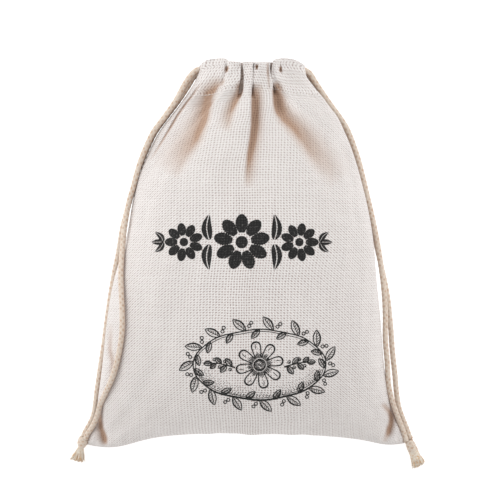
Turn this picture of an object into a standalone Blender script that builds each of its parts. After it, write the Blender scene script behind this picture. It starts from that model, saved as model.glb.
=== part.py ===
"""Linen bread bag with drawcords, filled out like a cushion and lying on its back.

+X runs across the bag, +Y runs towards the gathered mouth and +Z points out of the front panel.
The floor is z = 0, and x = y = 0 is the middle of the bag. Tables are in millimetres, meshes in metres.
"""

import math

import bmesh
import bpy
import numpy as np
from mathutils import Vector

MM = 0.001

# Cloth: one panel in front and one behind, joined at the sides and the bottom, open at the mouth.
CLOTH_WALL = 1.5
SEAM_LIP = 2.0            # half the thickness of the flat seam that edges the filled part
FLOOR_SOFTNESS = 4.0      # height over which the back rounds off onto the floor
RIM_LOBE_RISE = 6.0       # how far the outer lobes of the gathered rim stand above its middle
RIM_LOBE_PLACE = 0.72
RIM_LOBE_WIDTH = 0.16

# Drawcords, with a knot and a frayed end on each pair
CORD_RADIUS = 2.5
CORD_STEP = 11.0
GAP = 0.3

# One row for each level of the bag, from the bottom seam to the rim of the mouth. seam_mid and
# seam_side are the height of the middle surface, rise and drop are how far the front and the back
# stand from it, edge is 1 for a round flank and more for a flattened one, gather is 1 where the
# cloth lies in full pleats, and cavity is how far across the hollow inside reaches.
LEVEL_COLUMNS = ("y_mid", "y_side", "left", "right", "seam_mid", "seam_side",
                 "rise", "drop", "edge", "gather", "cavity")
LEVELS = (
    (-163.0, -174.5, -143.8, 145.5, 34.0, 8.0, 0.0, 0.0, 1.60, 0.0, 0.50),
    (-162.3, -172.0, -143.2, 144.0, 34.2, 8.6, 8.5, 9.0, 1.60, 0.0, 0.53),
    (-160.0, -167.0, -142.6, 141.8, 34.6, 9.8, 15.0, 17.0, 1.55, 0.0, 0.57),
    (-155.5, -160.0, -140.4, 139.0, 35.3, 11.5, 23.0, 26.0, 1.50, 0.0, 0.62),
    (-148.0, -151.5, -137.8, 135.8, 36.5, 14.5, 31.0, 37.0, 1.40, 0.0, 0.68),
    (-136.5, -139.0, -135.0, 131.6, 38.2, 20.0, 40.0, 47.0, 1.25, 0.0, 0.78),
    (-119.5, -120.5, -131.8, 127.4, 40.2, 28.0, 47.0, 55.0, 1.10, 0.0, 0.90),
    (-94.5, -95.0, -127.6, 124.4, 41.5, 36.0, 52.0, 59.0, 1.00, 0.0, 0.95),
    (-61.5, -61.5, -123.9, 122.6, 42.0, 41.0, 54.0, 61.0, 1.00, 0.0, 0.95),
    (-24.5, -24.5, -118.0, 118.8, 42.0, 42.0, 54.0, 61.0, 1.00, 0.0, 0.95),
    (12.5, 12.5, -107.0, 115.9, 42.0, 42.0, 52.0, 60.0, 1.00, 0.0, 0.95),
    (45.5, 45.5, -99.2, 110.0, 42.0, 42.0, 48.0, 57.0, 1.00, 0.05, 0.95),
    (72.5, 70.5, -94.6, 103.6, 42.0, 42.0, 44.0, 52.0, 0.98, 0.14, 0.95),
    (94.0, 90.0, -86.6, 97.8, 42.0, 42.0, 40.0, 45.0, 0.95, 0.28, 0.95),
    (112.0, 107.0, -78.4, 91.0, 42.0, 42.0, 36.5, 39.0, 0.90, 0.45, 0.95),
    (127.0, 121.0, -68.4, 84.6, 42.0, 42.0, 33.5, 34.0, 0.83, 0.63, 0.95),
    (139.0, 132.0, -59.8, 76.6, 42.0, 42.0, 31.5, 31.0, 0.75, 0.80, 0.95),
    (147.5, 141.0, -53.4, 69.0, 42.0, 42.0, 30.0, 29.0, 0.67, 0.92, 0.95),
    (154.0, 149.0, -48.0, 61.8, 42.0, 42.0, 28.8, 28.0, 0.60, 1.0, 0.94),
    (159.5, 156.5, -43.6, 56.4, 42.0, 42.0, 28.0, 27.2, 0.56, 1.0, 0.94),
    (164.5, 162.5, -41.4, 54.3, 42.0, 42.0, 27.5, 26.5, 0.55, 1.0, 0.94),
    (169.0, 167.5, -41.0, 54.0, 42.0, 42.0, 27.0, 26.0, 0.55, 1.0, 0.94),
)
CASING_LEVEL = 17         # the casing's stitch line, below which the pleats open out
FIRST_HOLLOW_LEVEL = 1.5

# Where the pleats' valleys lie across each panel, as (across, gathered): across runs -1 to 1 in the
# laid-out cloth, and gathered is the same line's share of the half width once it is pulled together.
FRONT_PLEATS = ((-1.0, -1.0), (-0.56, -0.472), (-0.24, -0.179), (0.015, 0.019), (0.46, 0.368), (1.0, 1.0))
BACK_PLEATS = ((-1.0, -1.0), (-0.52, -0.45), (-0.14, -0.12), (0.22, 0.2), (0.6, 0.52), (1.0, 1.0))
PLEAT_STEEPNESS = 0.85
PLEAT_STEPS = (0.0, 0.08, 0.25, 0.5, 0.75, 0.92)

# One row for each valley: where it starts at the mouth and ends, the level at which it dies out,
# its share of the cloth's height, and its width across the cloth at both ends.
FOLD_COLUMNS = ("across_top", "across_end", "end_level", "depth", "width_top", "width_end", "fade")
FRONT_FOLDS = (
    (-0.56, -0.62, 10.8, 0.74, 0.075, 0.17, 1.1),
    (-0.24, -0.28, 13.2, 0.72, 0.055, 0.08, 1.3),
    (0.015, -0.02, 10.4, 0.74, 0.060, 0.055, 0.9),
    (0.46, 0.58, 10.6, 0.76, 0.080, 0.17, 1.0),
)
BACK_FOLDS = (
    (-0.52, -0.56, 11.2, 0.70, 0.075, 0.15, 1.2),
    (-0.14, -0.12, 12.0, 0.70, 0.065, 0.09, 1.2),
    (0.22, 0.26, 11.4, 0.70, 0.070, 0.12, 1.2),
    (0.60, 0.66, 11.8, 0.70, 0.075, 0.14, 1.2),
)
FOLD_ROUNDING = 0.012

# The flat corners stand out past a crease down the front: one row for each corner.
CORNER_COLUMNS = ("x", "lean", "level", "reach", "depth", "width")
CORNER_CREASES = (
    (-130.0, -1.6, 2.6, 3.4, 4.5, 4.0),
    (131.5, 1.6, 2.8, 2.8, 4.5, 4.0),
)

# The routes that the four strands take from the casing to the knots, as points (x, y, z). On the
# left the front strand crosses over to the front panel and the rear one tucks under the flank.
CORD_ROUTES = {
    "drawcord_left_front": (
        (-45.2, 163.2, 46.0), (-52.8, 153.7, 47.0), (-62.1, 136.6, 47.6), (-72.1, 122.2, 47.7),
        (-81.5, 109.6, 47.7), (-88.0, 96.6, 47.6), (-93.2, 83.6, 47.5), (-96.6, 72.8, 47.5),
        (-100.4, 58.4, 47.5), (-104.0, 45.8, 47.5), (-106.3, 33.2, 48.5), (-108.2, 19.7, 51.0),
        (-109.0, 7.2, 55.0), (-109.6, -3.6, 60.0), (-109.9, -20.4, 66.0), (-109.2, -34.6, 70.0),
        (-108.3, -50.4, 72.5), (-108.5, -70.7, 73.0), (-112.2, -92.3, 68.4), (-117.8, -110.6, 60.0),
        (-125.2, -125.8, 46.6), (-130.8, -137.0, 34.5), (-134.6, -149.1, 24.9), (-139.2, -158.5, 17.8),
        (-144.4, -166.2, 12.4), (-146.4, -170.8, 10.5),
    ),
    "drawcord_left_rear": (
        (-46.1, 158.4, 40.8), (-51.3, 149.9, 41.8), (-60.5, 136.1, 42.4), (-71.2, 122.0, 42.3),
        (-80.4, 109.3, 42.4), (-87.2, 95.7, 42.3), (-93.2, 81.7, 42.1), (-97.6, 70.6, 42.1),
        (-100.6, 57.8, 42.0), (-104.2, 45.1, 41.8), (-107.7, 32.5, 41.0), (-110.8, 19.9, 39.0),
        (-113.1, 7.2, 35.0), (-115.4, -3.6, 30.5), (-118.4, -17.3, 27.5), (-121.7, -36.4, 27.0),
        (-124.6, -56.4, 27.0), (-128.3, -83.8, 26.0), (-131.9, -106.7, 24.0), (-135.2, -127.1, 19.5),
        (-137.0, -140.2, 14.8), (-139.2, -149.8, 10.9), (-142.6, -157.2, 8.4), (-146.4, -163.7, 7.0),
        (-148.6, -168.5, 6.1),
    ),
    "drawcord_right_front": (
        (58.4, 162.2, 43.0), (64.9, 152.6, 40.2), (76.6, 135.8, 36.1), (87.4, 121.2, 34.1),
        (94.1, 109.7, 33.1), (101.6, 89.3, 33.1), (105.5, 75.3, 33.1), (110.5, 54.4, 33.1),
        (115.8, 31.7, 33.2), (120.1, 10.0, 33.7), (123.5, -11.8, 34.7), (126.1, -33.5, 36.0),
        (127.2, -56.0, 38.0), (127.1, -77.7, 39.0), (129.0, -98.7, 36.0), (130.6, -118.9, 31.0),
        (134.4, -134.9, 25.0), (140.0, -150.2, 17.0), (145.0, -162.0, 11.2), (147.2, -168.6, 9.4),
        (148.8, -173.2, 8.6),
    ),
    "drawcord_right_rear": (
        (58.6, 158.5, 37.0), (64.7, 148.8, 34.4), (75.8, 131.6, 30.9), (86.4, 116.3, 28.9),
        (93.3, 103.7, 27.9), (100.9, 83.7, 27.9), (104.9, 69.1, 27.9), (110.0, 49.1, 27.9),
        (115.4, 27.3, 27.9), (120.3, 5.4, 28.4), (124.8, -15.4, 29.4), (129.6, -39.9, 31.0),
        (132.4, -67.1, 32.0), (134.1, -89.0, 30.5), (136.7, -110.2, 26.0), (138.5, -126.1, 20.0),
        (141.0, -140.4, 14.0), (145.1, -151.8, 9.0), (148.6, -160.2, 6.4), (151.0, -167.0, 5.4),
        (152.9, -171.4, 5.3),
    ),
}

# One row for each side: the knot from the strands to the neck, and the cut yarns from root to end.
KNOT_COLUMNS = ("start", "end", "root", "tip", "root_size", "tip_size", "yarns")
KNOTS = {
    "left": ((-147.7, -170.0, 8.3), (-151.0, -178.6, 5.6), (-152.7, -184.2, 4.2), (-154.9, -192.4, 3.7),
             (8.4, 4.8), (14.4, 6.0), (7, 4)),
    "right": ((150.9, -172.8, 7.0), (155.2, -182.3, 5.8), (157.4, -187.6, 5.3), (161.0, -196.6, 4.9),
              (8.8, 7.0), (11.0, 8.4), (6, 5)),
}
KNOT_SIDES = 14
KNOT_PROFILE = ((0.0, 3.7), (0.16, 4.3), (0.36, 4.8), (0.52, 4.4), (0.7, 4.8), (0.88, 4.1), (1.0, 3.1))
NECK_RADIUS = 2.9
YARN_GAP = 0.35


def clear_scene():
    for obj in list(bpy.data.objects):
        bpy.data.objects.remove(obj, do_unlink=True)


def material(name, color, roughness):
    mat = bpy.data.materials.new(name)
    mat.use_nodes = True
    shader = mat.node_tree.nodes["Principled BSDF"]
    shader.inputs["Base Color"].default_value = (*color, 1.0)
    shader.inputs["Roughness"].default_value = roughness
    shader.inputs["Metallic"].default_value = 0.0
    return mat


def new_object(name, mesh, mat):
    obj = bpy.data.objects.new(name, mesh)
    bpy.context.scene.collection.objects.link(obj)
    mesh.materials.append(mat)
    return obj


def level_values(level):
    """Every column of LEVELS at a level between its rows, on a smooth curve through the rows."""
    table = np.array(LEVELS)
    last = len(table) - 1
    level = np.asarray(level, float)
    low = np.clip(np.floor(level).astype(int), 0, last - 1)
    t = (level - low)[..., None]
    before, here = table[np.maximum(low - 1, 0)], table[low]
    there, after = table[low + 1], table[np.minimum(low + 2, last)]
    slope_here, slope_there = (there - before) / 2, (after - here) / 2
    values = (here * (1 + 2 * t) * (1 - t) ** 2 + slope_here * t * (1 - t) ** 2
              + there * t * t * (3 - 2 * t) + slope_there * t * t * (t - 1))
    return {name: values[..., i] for i, name in enumerate(LEVEL_COLUMNS)}


def gathered_place(across, pleats):
    """Share of the half width where the cloth lies in full pleats: it runs fast over the lobes
    and nearly stands still in the valleys, where it turns into the bag."""
    knots, places = np.array(pleats).T
    segment = np.clip(np.searchsorted(knots, across, side="right") - 1, 0, len(knots) - 2)
    t = (across - knots[segment]) / (knots[segment + 1] - knots[segment])
    eased = t - PLEAT_STEEPNESS * np.sin(2 * np.pi * t) / (2 * np.pi)
    return places[segment] + (places[segment + 1] - places[segment]) * eased


def fold_share(across, level, folds):
    """Share of the height that the valleys take: a rounded tent for each valley, faded downwards."""
    share = np.zeros_like(across)
    for fold in folds:
        row = dict(zip(FOLD_COLUMNS, fold))
        up = np.clip((level - row["end_level"]) / (CASING_LEVEL - row["end_level"]), 0, 1)
        middle = row["across_end"] + (row["across_top"] - row["across_end"]) * up
        width = row["width_end"] + (row["width_top"] - row["width_end"]) * up
        distance = np.sqrt((across - middle) ** 2 + FOLD_ROUNDING ** 2) - FOLD_ROUNDING
        share += row["depth"] * up ** row["fade"] * np.exp(-distance / width)
    return np.minimum(share, 0.8)


def corner_crease(x, level):
    """Depth of the trough that parts each flat corner from the filled front."""
    depth = np.zeros_like(x)
    for crease in CORNER_CREASES:
        row = dict(zip(CORNER_COLUMNS, crease))
        from_level = level - row["level"]
        fade = np.clip(1 - (from_level / row["reach"]) ** 2, 0, 1) * np.clip(level, 0, 1)
        line = row["x"] + row["lean"] * from_level
        depth += row["depth"] * fade * np.exp(-((x - line) / row["width"]) ** 2)
    return depth


def lie_on_floor(z):
    """Height kept above the floor: exactly 0 below it, with a soft bend as it leaves it."""
    k = FLOOR_SOFTNESS
    bend = np.where(np.abs(z) < k, (z + k) ** 2 / (4 * k), z)
    return np.where(z <= -k, 0.0, bend)


def panel_surface(across, level, is_front):
    """Points of a panel's outer face, in millimetres.

    Across the bag the section is half an ellipse, x = sine and z = cosine of a quarter turn times
    across, pulled towards the pleats as gather grows, and less the valleys' share of its height.
    """
    across, level = np.broadcast_arrays(np.asarray(across, float), np.asarray(level, float))
    row = level_values(level)
    pleats, folds = (FRONT_PLEATS, FRONT_FOLDS) if is_front else (BACK_PLEATS, BACK_FOLDS)
    sine = np.sin(across * np.pi / 2)
    cosine = np.maximum(np.cos(across * np.pi / 2), 0.0)
    place = (1 - row["gather"]) * sine + row["gather"] * gathered_place(across, pleats)
    x = (row["left"] + row["right"]) / 2 + (row["right"] - row["left"]) / 2 * place
    droop = np.abs(sine) ** 2.2 * (1.3 - 0.3 * np.abs(sine) ** 10)
    rim_lobe = np.exp(-((np.abs(across) - RIM_LOBE_PLACE) / RIM_LOBE_WIDTH) ** 2)
    rim_share = np.clip((level - CASING_LEVEL) / (len(LEVELS) - 1 - CASING_LEVEL), 0, 1)
    y = row["y_mid"] + (row["y_side"] - row["y_mid"]) * droop + RIM_LOBE_RISE * rim_lobe * rim_share
    middle = row["seam_mid"] + (row["seam_side"] - row["seam_mid"]) * np.abs(sine) ** 3
    height = cosine ** row["edge"] * (1 - fold_share(across, level, folds))
    lip = SEAM_LIP * (1 - np.abs(sine) ** 10) * (1 - np.exp(-3 * level))
    if is_front:
        z = middle + row["rise"] * height + lip - corner_crease(x, level)
    else:
        z = lie_on_floor(middle - row["drop"] * height - lip)
    return np.stack([x, y, z], axis=-1)


def inner_surface(across, level, is_front):
    """The cloth's inner face: the outer face moved in by the wall, along its normal."""
    step = 1e-3
    low, high = np.maximum(level - step, 0), np.minimum(level + step, len(LEVELS) - 1)
    along = panel_surface(across, high, is_front) - panel_surface(across, low, is_front)
    sideways = panel_surface(across + step, level, is_front) - panel_surface(across - step, level, is_front)
    normal = np.cross(sideways, along) if is_front else np.cross(along, sideways)
    normal /= np.linalg.norm(normal, axis=-1, keepdims=True)
    return panel_surface(across, level, is_front) - CLOTH_WALL * normal


def pleat_columns(pleats):
    """Places across a panel: several in each lobe, crowded towards the valleys."""
    knots = [row[0] for row in pleats]
    columns = [a + (b - a) * t for a, b in zip(knots, knots[1:]) for t in PLEAT_STEPS]
    return np.array(columns + [knots[-1]])


def build_bag(mat):
    """The bag: outer rings and inner rings of points, bridged at the rim and closed at the bottom."""
    front, back = pleat_columns(FRONT_PLEATS), pleat_columns(BACK_PLEATS)[::-1]
    outer_levels = np.arange(len(LEVELS), dtype=float)
    inner_levels = np.maximum(outer_levels[1:], FIRST_HOLLOW_LEVEL)

    def ring(points):
        return [bm.verts.new(Vector(p) * MM) for p in points]

    bm = bmesh.new()
    outer, inner = [], []
    for level in outer_levels:
        front_points = panel_surface(front, level, True)
        back_points = panel_surface(back, level, False)[1:-1]
        if level == 0:
            seam = ring(front_points)
            outer.append(seam + seam[-2:0:-1])
        else:
            outer.append(ring(np.concatenate([front_points, back_points])))
    for level in inner_levels:
        cavity = float(level_values(level)["cavity"])
        front_points = inner_surface(front * cavity, level, True)
        back_points = inner_surface(back * cavity, level, False)
        inner.append(ring(np.concatenate([front_points, back_points])))

    def bridge(lower, upper, inwards):
        count = len(lower)
        for i in range(count):
            j = (i + 1) % count
            quad = [lower[i], lower[j], upper[j], upper[i]]
            quad = list(dict.fromkeys(quad))
            if len(quad) > 2:
                bm.faces.new(quad[::-1] if inwards else quad)

    wide = len(front)
    bottom, second = outer[0], outer[1]
    for i in range(wide - 1):
        bm.faces.new([bottom[i], bottom[i + 1], second[i + 1], second[i]])
    for i in range(wide - 1):
        a, b = wide - 1 - i, wide - 2 - i
        top_a, top_b = second[wide - 1 + i], second[(wide + i) % len(second)]
        bm.faces.new([bottom[a], bottom[b], top_b, top_a])
    for lower, upper in zip(outer[1:], outer[2:]):
        bridge(lower, upper, False)
    for lower, upper in zip(inner, inner[1:]):
        bridge(lower, upper, True)
    floor_ring = inner[0]
    for i in range(wide - 1):
        bm.faces.new([floor_ring[i], floor_ring[i + 1], floor_ring[2 * wide - 2 - i], floor_ring[2 * wide - 1 - i]])

    rim_out, rim_in = outer[-1], inner[-1]
    for i in range(wide - 1):
        bm.faces.new([rim_out[i], rim_out[i + 1], rim_in[i + 1], rim_in[i]])
    for i in range(wide - 1):
        a, b = wide - 1 + i, (wide + i) % len(rim_out)
        bm.faces.new([rim_out[a], rim_out[b], rim_in[wide + i + 1], rim_in[wide + i]])
    bm.faces.new([rim_out[wide - 1], rim_in[wide], rim_in[wide - 1]])
    bm.faces.new([rim_out[0], rim_in[0], rim_in[2 * wide - 1]])

    bmesh.ops.recalc_face_normals(bm, faces=bm.faces)
    bmesh.ops.triangulate(bm, faces=bm.faces)
    mesh = bpy.data.meshes.new("bag_cloth")
    bm.to_mesh(mesh)
    bm.free()
    mesh.shade_smooth()
    return new_object("bag_cloth", mesh, mat)


def smooth_route(points, step):
    """A smooth curve through the route's points, read off at even steps along its length."""
    points = [Vector(p) for p in points]
    dense = []
    for i in range(len(points) - 1):
        a, b = points[i], points[i + 1]
        before = points[i - 1] if i else a - (b - a)
        after = points[i + 2] if i + 2 < len(points) else b + (b - a)
        for k in range(20):
            t = k / 20
            dense.append(a * (1 + 2 * t) * (1 - t) ** 2 + (b - before) / 2 * t * (1 - t) ** 2
                         + b * t * t * (3 - 2 * t) + (after - a) / 2 * t * t * (t - 1))
    dense.append(points[-1])
    dense = np.array(dense)
    run = np.concatenate([[0], np.cumsum(np.linalg.norm(np.diff(dense, axis=0), axis=1))])
    places = np.linspace(0, run[-1], max(2, round(run[-1] / step)) + 1)
    return np.stack([np.interp(places, run, dense[:, axis]) for axis in range(3)], axis=1)


def build_cord(name, route, mat):
    curve = bpy.data.curves.new(name, "CURVE")
    curve.dimensions = "3D"
    curve.bevel_depth = CORD_RADIUS * MM
    curve.bevel_resolution = 2
    curve.use_fill_caps = True
    points = smooth_route(route, CORD_STEP)
    spline = curve.splines.new("POLY")
    spline.points.add(len(points) - 1)
    for target, point in zip(spline.points, points):
        target.co = (*(point * MM), 1.0)
    return new_object(name, curve, mat)


def frame_along(direction):
    """Two directions square to a run: one level with the floor, and one upwards."""
    level = Vector((0, 0, 1)).cross(direction).normalized()
    return level, direction.cross(level).normalized()


def build_knot(side, row, mat):
    """The two strands wrapped round each other: a turned body with two bulges."""
    start, end = Vector(row["start"]), Vector(row["end"])
    level, up = frame_along((end - start).normalized())
    bm = bmesh.new()
    rings = []
    for place, radius in KNOT_PROFILE:
        centre = start.lerp(end, place)
        ring = []
        for k in range(KNOT_SIDES):
            turn = 2 * math.pi * k / KNOT_SIDES
            offset = level * math.cos(turn) * radius + up * math.sin(turn) * radius
            ring.append(bm.verts.new((centre + offset) * MM))
        rings.append(ring)
    for lower, upper in zip(rings, rings[1:]):
        for k in range(KNOT_SIDES):
            j = (k + 1) % KNOT_SIDES
            bm.faces.new([lower[k], lower[j], upper[j], upper[k]])
    bm.faces.new(rings[0][::-1])
    bm.faces.new(rings[-1])
    bmesh.ops.recalc_face_normals(bm, faces=bm.faces)
    bmesh.ops.triangulate(bm, faces=bm.faces)
    mesh = bpy.data.meshes.new("knot_" + side)
    bm.to_mesh(mesh)
    bm.free()
    mesh.shade_smooth()
    return new_object("knot_" + side, mesh, mat)


def build_frayed_end(side, row, mat):
    """The cut yarns below a knot: a neck whose end is a grid of yarns that stand apart and fan out."""
    knot_end, root, tip = Vector(row["end"]), Vector(row["root"]), Vector(row["tip"])
    along = (root - knot_end).normalized()
    level, up = frame_along(along)
    neck_start = knot_end + along * GAP
    across_count, deep_count = row["yarns"]

    def grid_place(i, j):
        """A corner of the yarns' grid, bowed out to a rounded rectangle, from the root's middle."""
        a, b = 2 * i / across_count - 1, 2 * j / deep_count - 1
        return (level * a * math.sqrt(1 - b * b / 3) * row["root_size"][0] / 2
                + up * b * math.sqrt(1 - a * a / 3) * row["root_size"][1] / 2)

    bm = bmesh.new()
    corners = [(i, j) for i in range(across_count + 1) for j in range(deep_count + 1)]
    grid = {key: bm.verts.new(root + grid_place(*key)) for key in corners}
    yarns = {}
    for i in range(across_count):
        for j in range(deep_count):
            yarns[i, j] = bm.faces.new([grid[i, j], grid[i + 1, j], grid[i + 1, j + 1], grid[i, j + 1]])
    edge = [(i, 0) for i in range(across_count)] + [(across_count, j) for j in range(deep_count)]
    edge += [(i, deep_count) for i in range(across_count, 0, -1)] + [(0, j) for j in range(deep_count, 0, -1)]
    neck = [bm.verts.new(neck_start + grid_place(*key).normalized() * NECK_RADIUS) for key in edge]
    for k, key in enumerate(edge):
        j = (k + 1) % len(edge)
        bm.faces.new([neck[k], neck[j], grid[edge[j]], grid[key]])
    bm.faces.new(neck[::-1])
    bmesh.ops.inset_individual(bm, faces=list(yarns.values()), thickness=YARN_GAP / 2)

    fan_level, fan_up = frame_along((tip - root).normalized())
    for (i, j), face in yarns.items():
        a, b = (2 * i + 1) / across_count - 1, (2 * j + 1) / deep_count - 1
        length = 1 - 0.16 * a * a + 0.08 * math.sin(2.4 * i + 1.7 * j)
        yarn_tip = (root.lerp(tip, length) + fan_level * a * row["tip_size"][0] / 2
                    + fan_up * b * row["tip_size"][1] / 2)
        foot = face.calc_center_median()
        for part in (0.5, 1.0):
            face = bmesh.ops.extrude_discrete_faces(bm, faces=[face])["faces"][0]
            move = foot.lerp(yarn_tip, part) - face.calc_center_median()
            for vert in face.verts:
                vert.co += move
    for vert in bm.verts:
        vert.co *= MM
    bmesh.ops.recalc_face_normals(bm, faces=bm.faces)
    bmesh.ops.triangulate(bm, faces=bm.faces)
    mesh = bpy.data.meshes.new("frayed_end_" + side)
    bm.to_mesh(mesh)
    bm.free()
    return new_object("frayed_end_" + side, mesh, mat)


clear_scene()
linen = material("unbleached_linen", (0.77, 0.72, 0.68), 0.9)
cotton = material("cotton_cord", (0.68, 0.58, 0.48), 0.85)
yarn = material("cut_cotton_yarn", (0.72, 0.62, 0.5), 0.9)

build_bag(linen)
for cord_name, cord_route in CORD_ROUTES.items():
    build_cord(cord_name, cord_route, cotton)
for side_name, knot_values in KNOTS.items():
    knot_row = dict(zip(KNOT_COLUMNS, knot_values))
    build_knot(side_name, knot_row, cotton)
    build_frayed_end(side_name, knot_row, yarn)
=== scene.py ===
"""Looks of a linen bread bag that lies filled on its back, with its gathered mouth and drawcords.

+X runs across the bag, +Y towards the mouth and +Z out of the front panel; the floor is z = 0. The
pieces' sizes and tables are in millimetres. The view, the light and the materials' patterns are in
metres, as each mesh is.
"""

import math

import bmesh
import bpy
import mathutils
import numpy as np
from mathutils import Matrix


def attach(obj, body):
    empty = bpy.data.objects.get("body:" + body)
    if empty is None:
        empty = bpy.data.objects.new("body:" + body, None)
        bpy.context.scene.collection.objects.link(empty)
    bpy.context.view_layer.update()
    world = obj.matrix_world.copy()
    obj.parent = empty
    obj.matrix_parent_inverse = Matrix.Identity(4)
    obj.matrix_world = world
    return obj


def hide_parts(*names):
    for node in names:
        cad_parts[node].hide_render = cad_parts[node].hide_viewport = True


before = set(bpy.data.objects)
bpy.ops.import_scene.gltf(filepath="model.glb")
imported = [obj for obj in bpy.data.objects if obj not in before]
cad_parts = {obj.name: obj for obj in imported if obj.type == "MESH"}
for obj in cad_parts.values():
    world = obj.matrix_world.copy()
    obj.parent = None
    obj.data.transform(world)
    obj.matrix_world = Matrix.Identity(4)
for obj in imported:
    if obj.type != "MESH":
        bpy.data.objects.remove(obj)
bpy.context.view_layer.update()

# The view: straight down on the front panel from 1.65 m, with the mouth at the top of the picture,
# which is 0.45 m wide at the height of the side seams.
CAMERA_HEIGHT = 1.65
VIEW_CENTRE = (0.0048, 0.0027)
VIEW_WIDTH = 0.45
VIEW_LEVEL = 0.045

scene = bpy.context.scene
scene.view_settings.view_transform = "Standard"
camera_data = bpy.data.cameras.new("view_from_above")
camera_data.angle = 2 * math.atan(VIEW_WIDTH / 2 / (CAMERA_HEIGHT - VIEW_LEVEL))
camera = bpy.data.objects.new("view_from_above", camera_data)
camera.location = (*VIEW_CENTRE, CAMERA_HEIGHT)
scene.collection.objects.link(camera)
scene.camera = camera


# The drawcords: two braided cotton strands on each side, out of the casing's slots and down over the
# flanks to the bottom corners, where each pair is tied together.
CORD_RADIUS = 2.5
# Each strand's course outside the casing, as listed points x, y and z
CORD_ROUTES = {
    "left_front": (
        (-45.2, 163.2, 46.0), (-52.8, 153.7, 47.0), (-62.1, 136.6, 47.6), (-72.1, 122.2, 47.7),
        (-81.5, 109.6, 47.7), (-88.0, 96.6, 47.6), (-93.2, 83.6, 47.5), (-96.6, 72.8, 47.5),
        (-100.4, 58.4, 47.5), (-104.0, 45.8, 47.5), (-106.3, 33.2, 48.5), (-108.2, 19.7, 51.0),
        (-109.0, 7.2, 55.0), (-109.6, -3.6, 60.0), (-109.9, -20.4, 66.0), (-109.2, -34.6, 70.0),
        (-108.3, -50.4, 72.5), (-108.5, -70.7, 73.0), (-112.2, -92.3, 68.4), (-117.8, -110.6, 60.0),
        (-125.2, -125.8, 46.6), (-130.8, -137.0, 34.5), (-134.6, -149.1, 24.9), (-139.2, -158.5, 17.8),
        (-144.4, -166.2, 12.4), (-146.4, -170.8, 10.5),
    ),
    "left_rear": (
        (-46.1, 158.4, 40.8), (-51.3, 149.9, 41.8), (-60.5, 136.1, 42.4), (-71.2, 122.0, 42.3),
        (-80.4, 109.3, 42.4), (-87.2, 95.7, 42.3), (-93.2, 81.7, 42.1), (-97.6, 70.6, 42.1),
        (-100.6, 57.8, 42.0), (-104.2, 45.1, 41.8), (-107.7, 32.5, 41.0), (-110.8, 19.9, 39.0),
        (-113.1, 7.2, 35.0), (-115.4, -3.6, 30.5), (-118.4, -17.3, 27.5), (-121.7, -36.4, 27.0),
        (-124.6, -56.4, 27.0), (-128.3, -83.8, 26.0), (-131.9, -106.7, 24.0), (-135.2, -127.1, 19.5),
        (-137.0, -140.2, 14.8), (-139.2, -149.8, 10.9), (-142.6, -157.2, 8.4), (-146.4, -163.7, 7.0),
        (-148.6, -168.5, 6.1),
    ),
    "right_front": (
        (58.4, 162.2, 43.0), (64.9, 152.6, 40.2), (76.6, 135.8, 36.1), (87.4, 121.2, 34.1),
        (94.1, 109.7, 33.1), (101.6, 89.3, 33.1), (105.5, 75.3, 33.1), (110.5, 54.4, 33.1),
        (115.8, 31.7, 33.2), (120.1, 10.0, 33.7), (123.5, -11.8, 34.7), (126.1, -33.5, 36.0),
        (127.2, -56.0, 38.0), (127.1, -77.7, 39.0), (129.0, -98.7, 36.0), (130.6, -118.9, 31.0),
        (134.4, -134.9, 25.0), (140.0, -150.2, 17.0), (145.0, -162.0, 11.2), (147.2, -168.6, 9.4),
        (148.8, -173.2, 8.6),
    ),
    "right_rear": (
        (58.6, 158.5, 37.0), (64.7, 148.8, 34.4), (75.8, 131.6, 30.9), (86.4, 116.3, 28.9),
        (93.3, 103.7, 27.9), (100.9, 83.7, 27.9), (104.9, 69.1, 27.9), (110.0, 49.1, 27.9),
        (115.4, 27.3, 27.9), (120.3, 5.4, 28.4), (124.8, -15.4, 29.4), (129.6, -39.9, 31.0),
        (132.4, -67.1, 32.0), (134.1, -89.0, 30.5), (136.7, -110.2, 26.0), (138.5, -126.1, 20.0),
        (141.0, -140.4, 14.0), (145.1, -151.8, 9.0), (148.6, -160.2, 6.4), (151.0, -167.0, 5.4),
        (152.9, -171.4, 5.3),
    ),
}
# Where each strand runs inside the casing, before its slot in the side seam
CORD_ENTRIES = {
    "left_front": ((-33.0, 166.5, 43.0), (-38.8, 165.8, 44.6)),
    "left_rear": ((-33.5, 163.5, 39.5), (-39.8, 162.2, 40.4)),
    "right_front": ((46.0, 166.5, 43.5), (51.8, 165.6, 43.6)),
    "right_rear": ((46.5, 163.0, 38.5), (52.4, 161.8, 38.0)),
}
# The angle by which each strand's shade is turned from its underside, over zero towards +X
SHADED_SIDE = {"left_front": 0.9, "left_rear": 1.3, "right_front": -0.9, "right_rear": -0.7}
# Points round a strand, the step from ring to ring, and parts of the curve between two route points
CORD_SIDES, CORD_STEP, ROUTE_PARTS = 24, 0.75, 24
BRAID_YARNS, BRAID_PITCH, BRAID_DEPTH = 3, 16.0, 0.09


def cubic(before, here, there, after, t):
    """Places at the shares t from here to there, on a cubic curve whose slope at each end is half the
    way between that end's two neighbours."""
    return (here * (1 + 2 * t) * (1 - t) ** 2 + (there - before) / 2 * t * (1 - t) ** 2
            + there * t * t * (3 - 2 * t) + (after - here) / 2 * t * t * (t - 1))


def run_along(path):
    """The length of a path from its start to each of its points."""
    return np.concatenate([[0], np.cumsum(np.linalg.norm(np.diff(path, axis=0), axis=1))])


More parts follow.
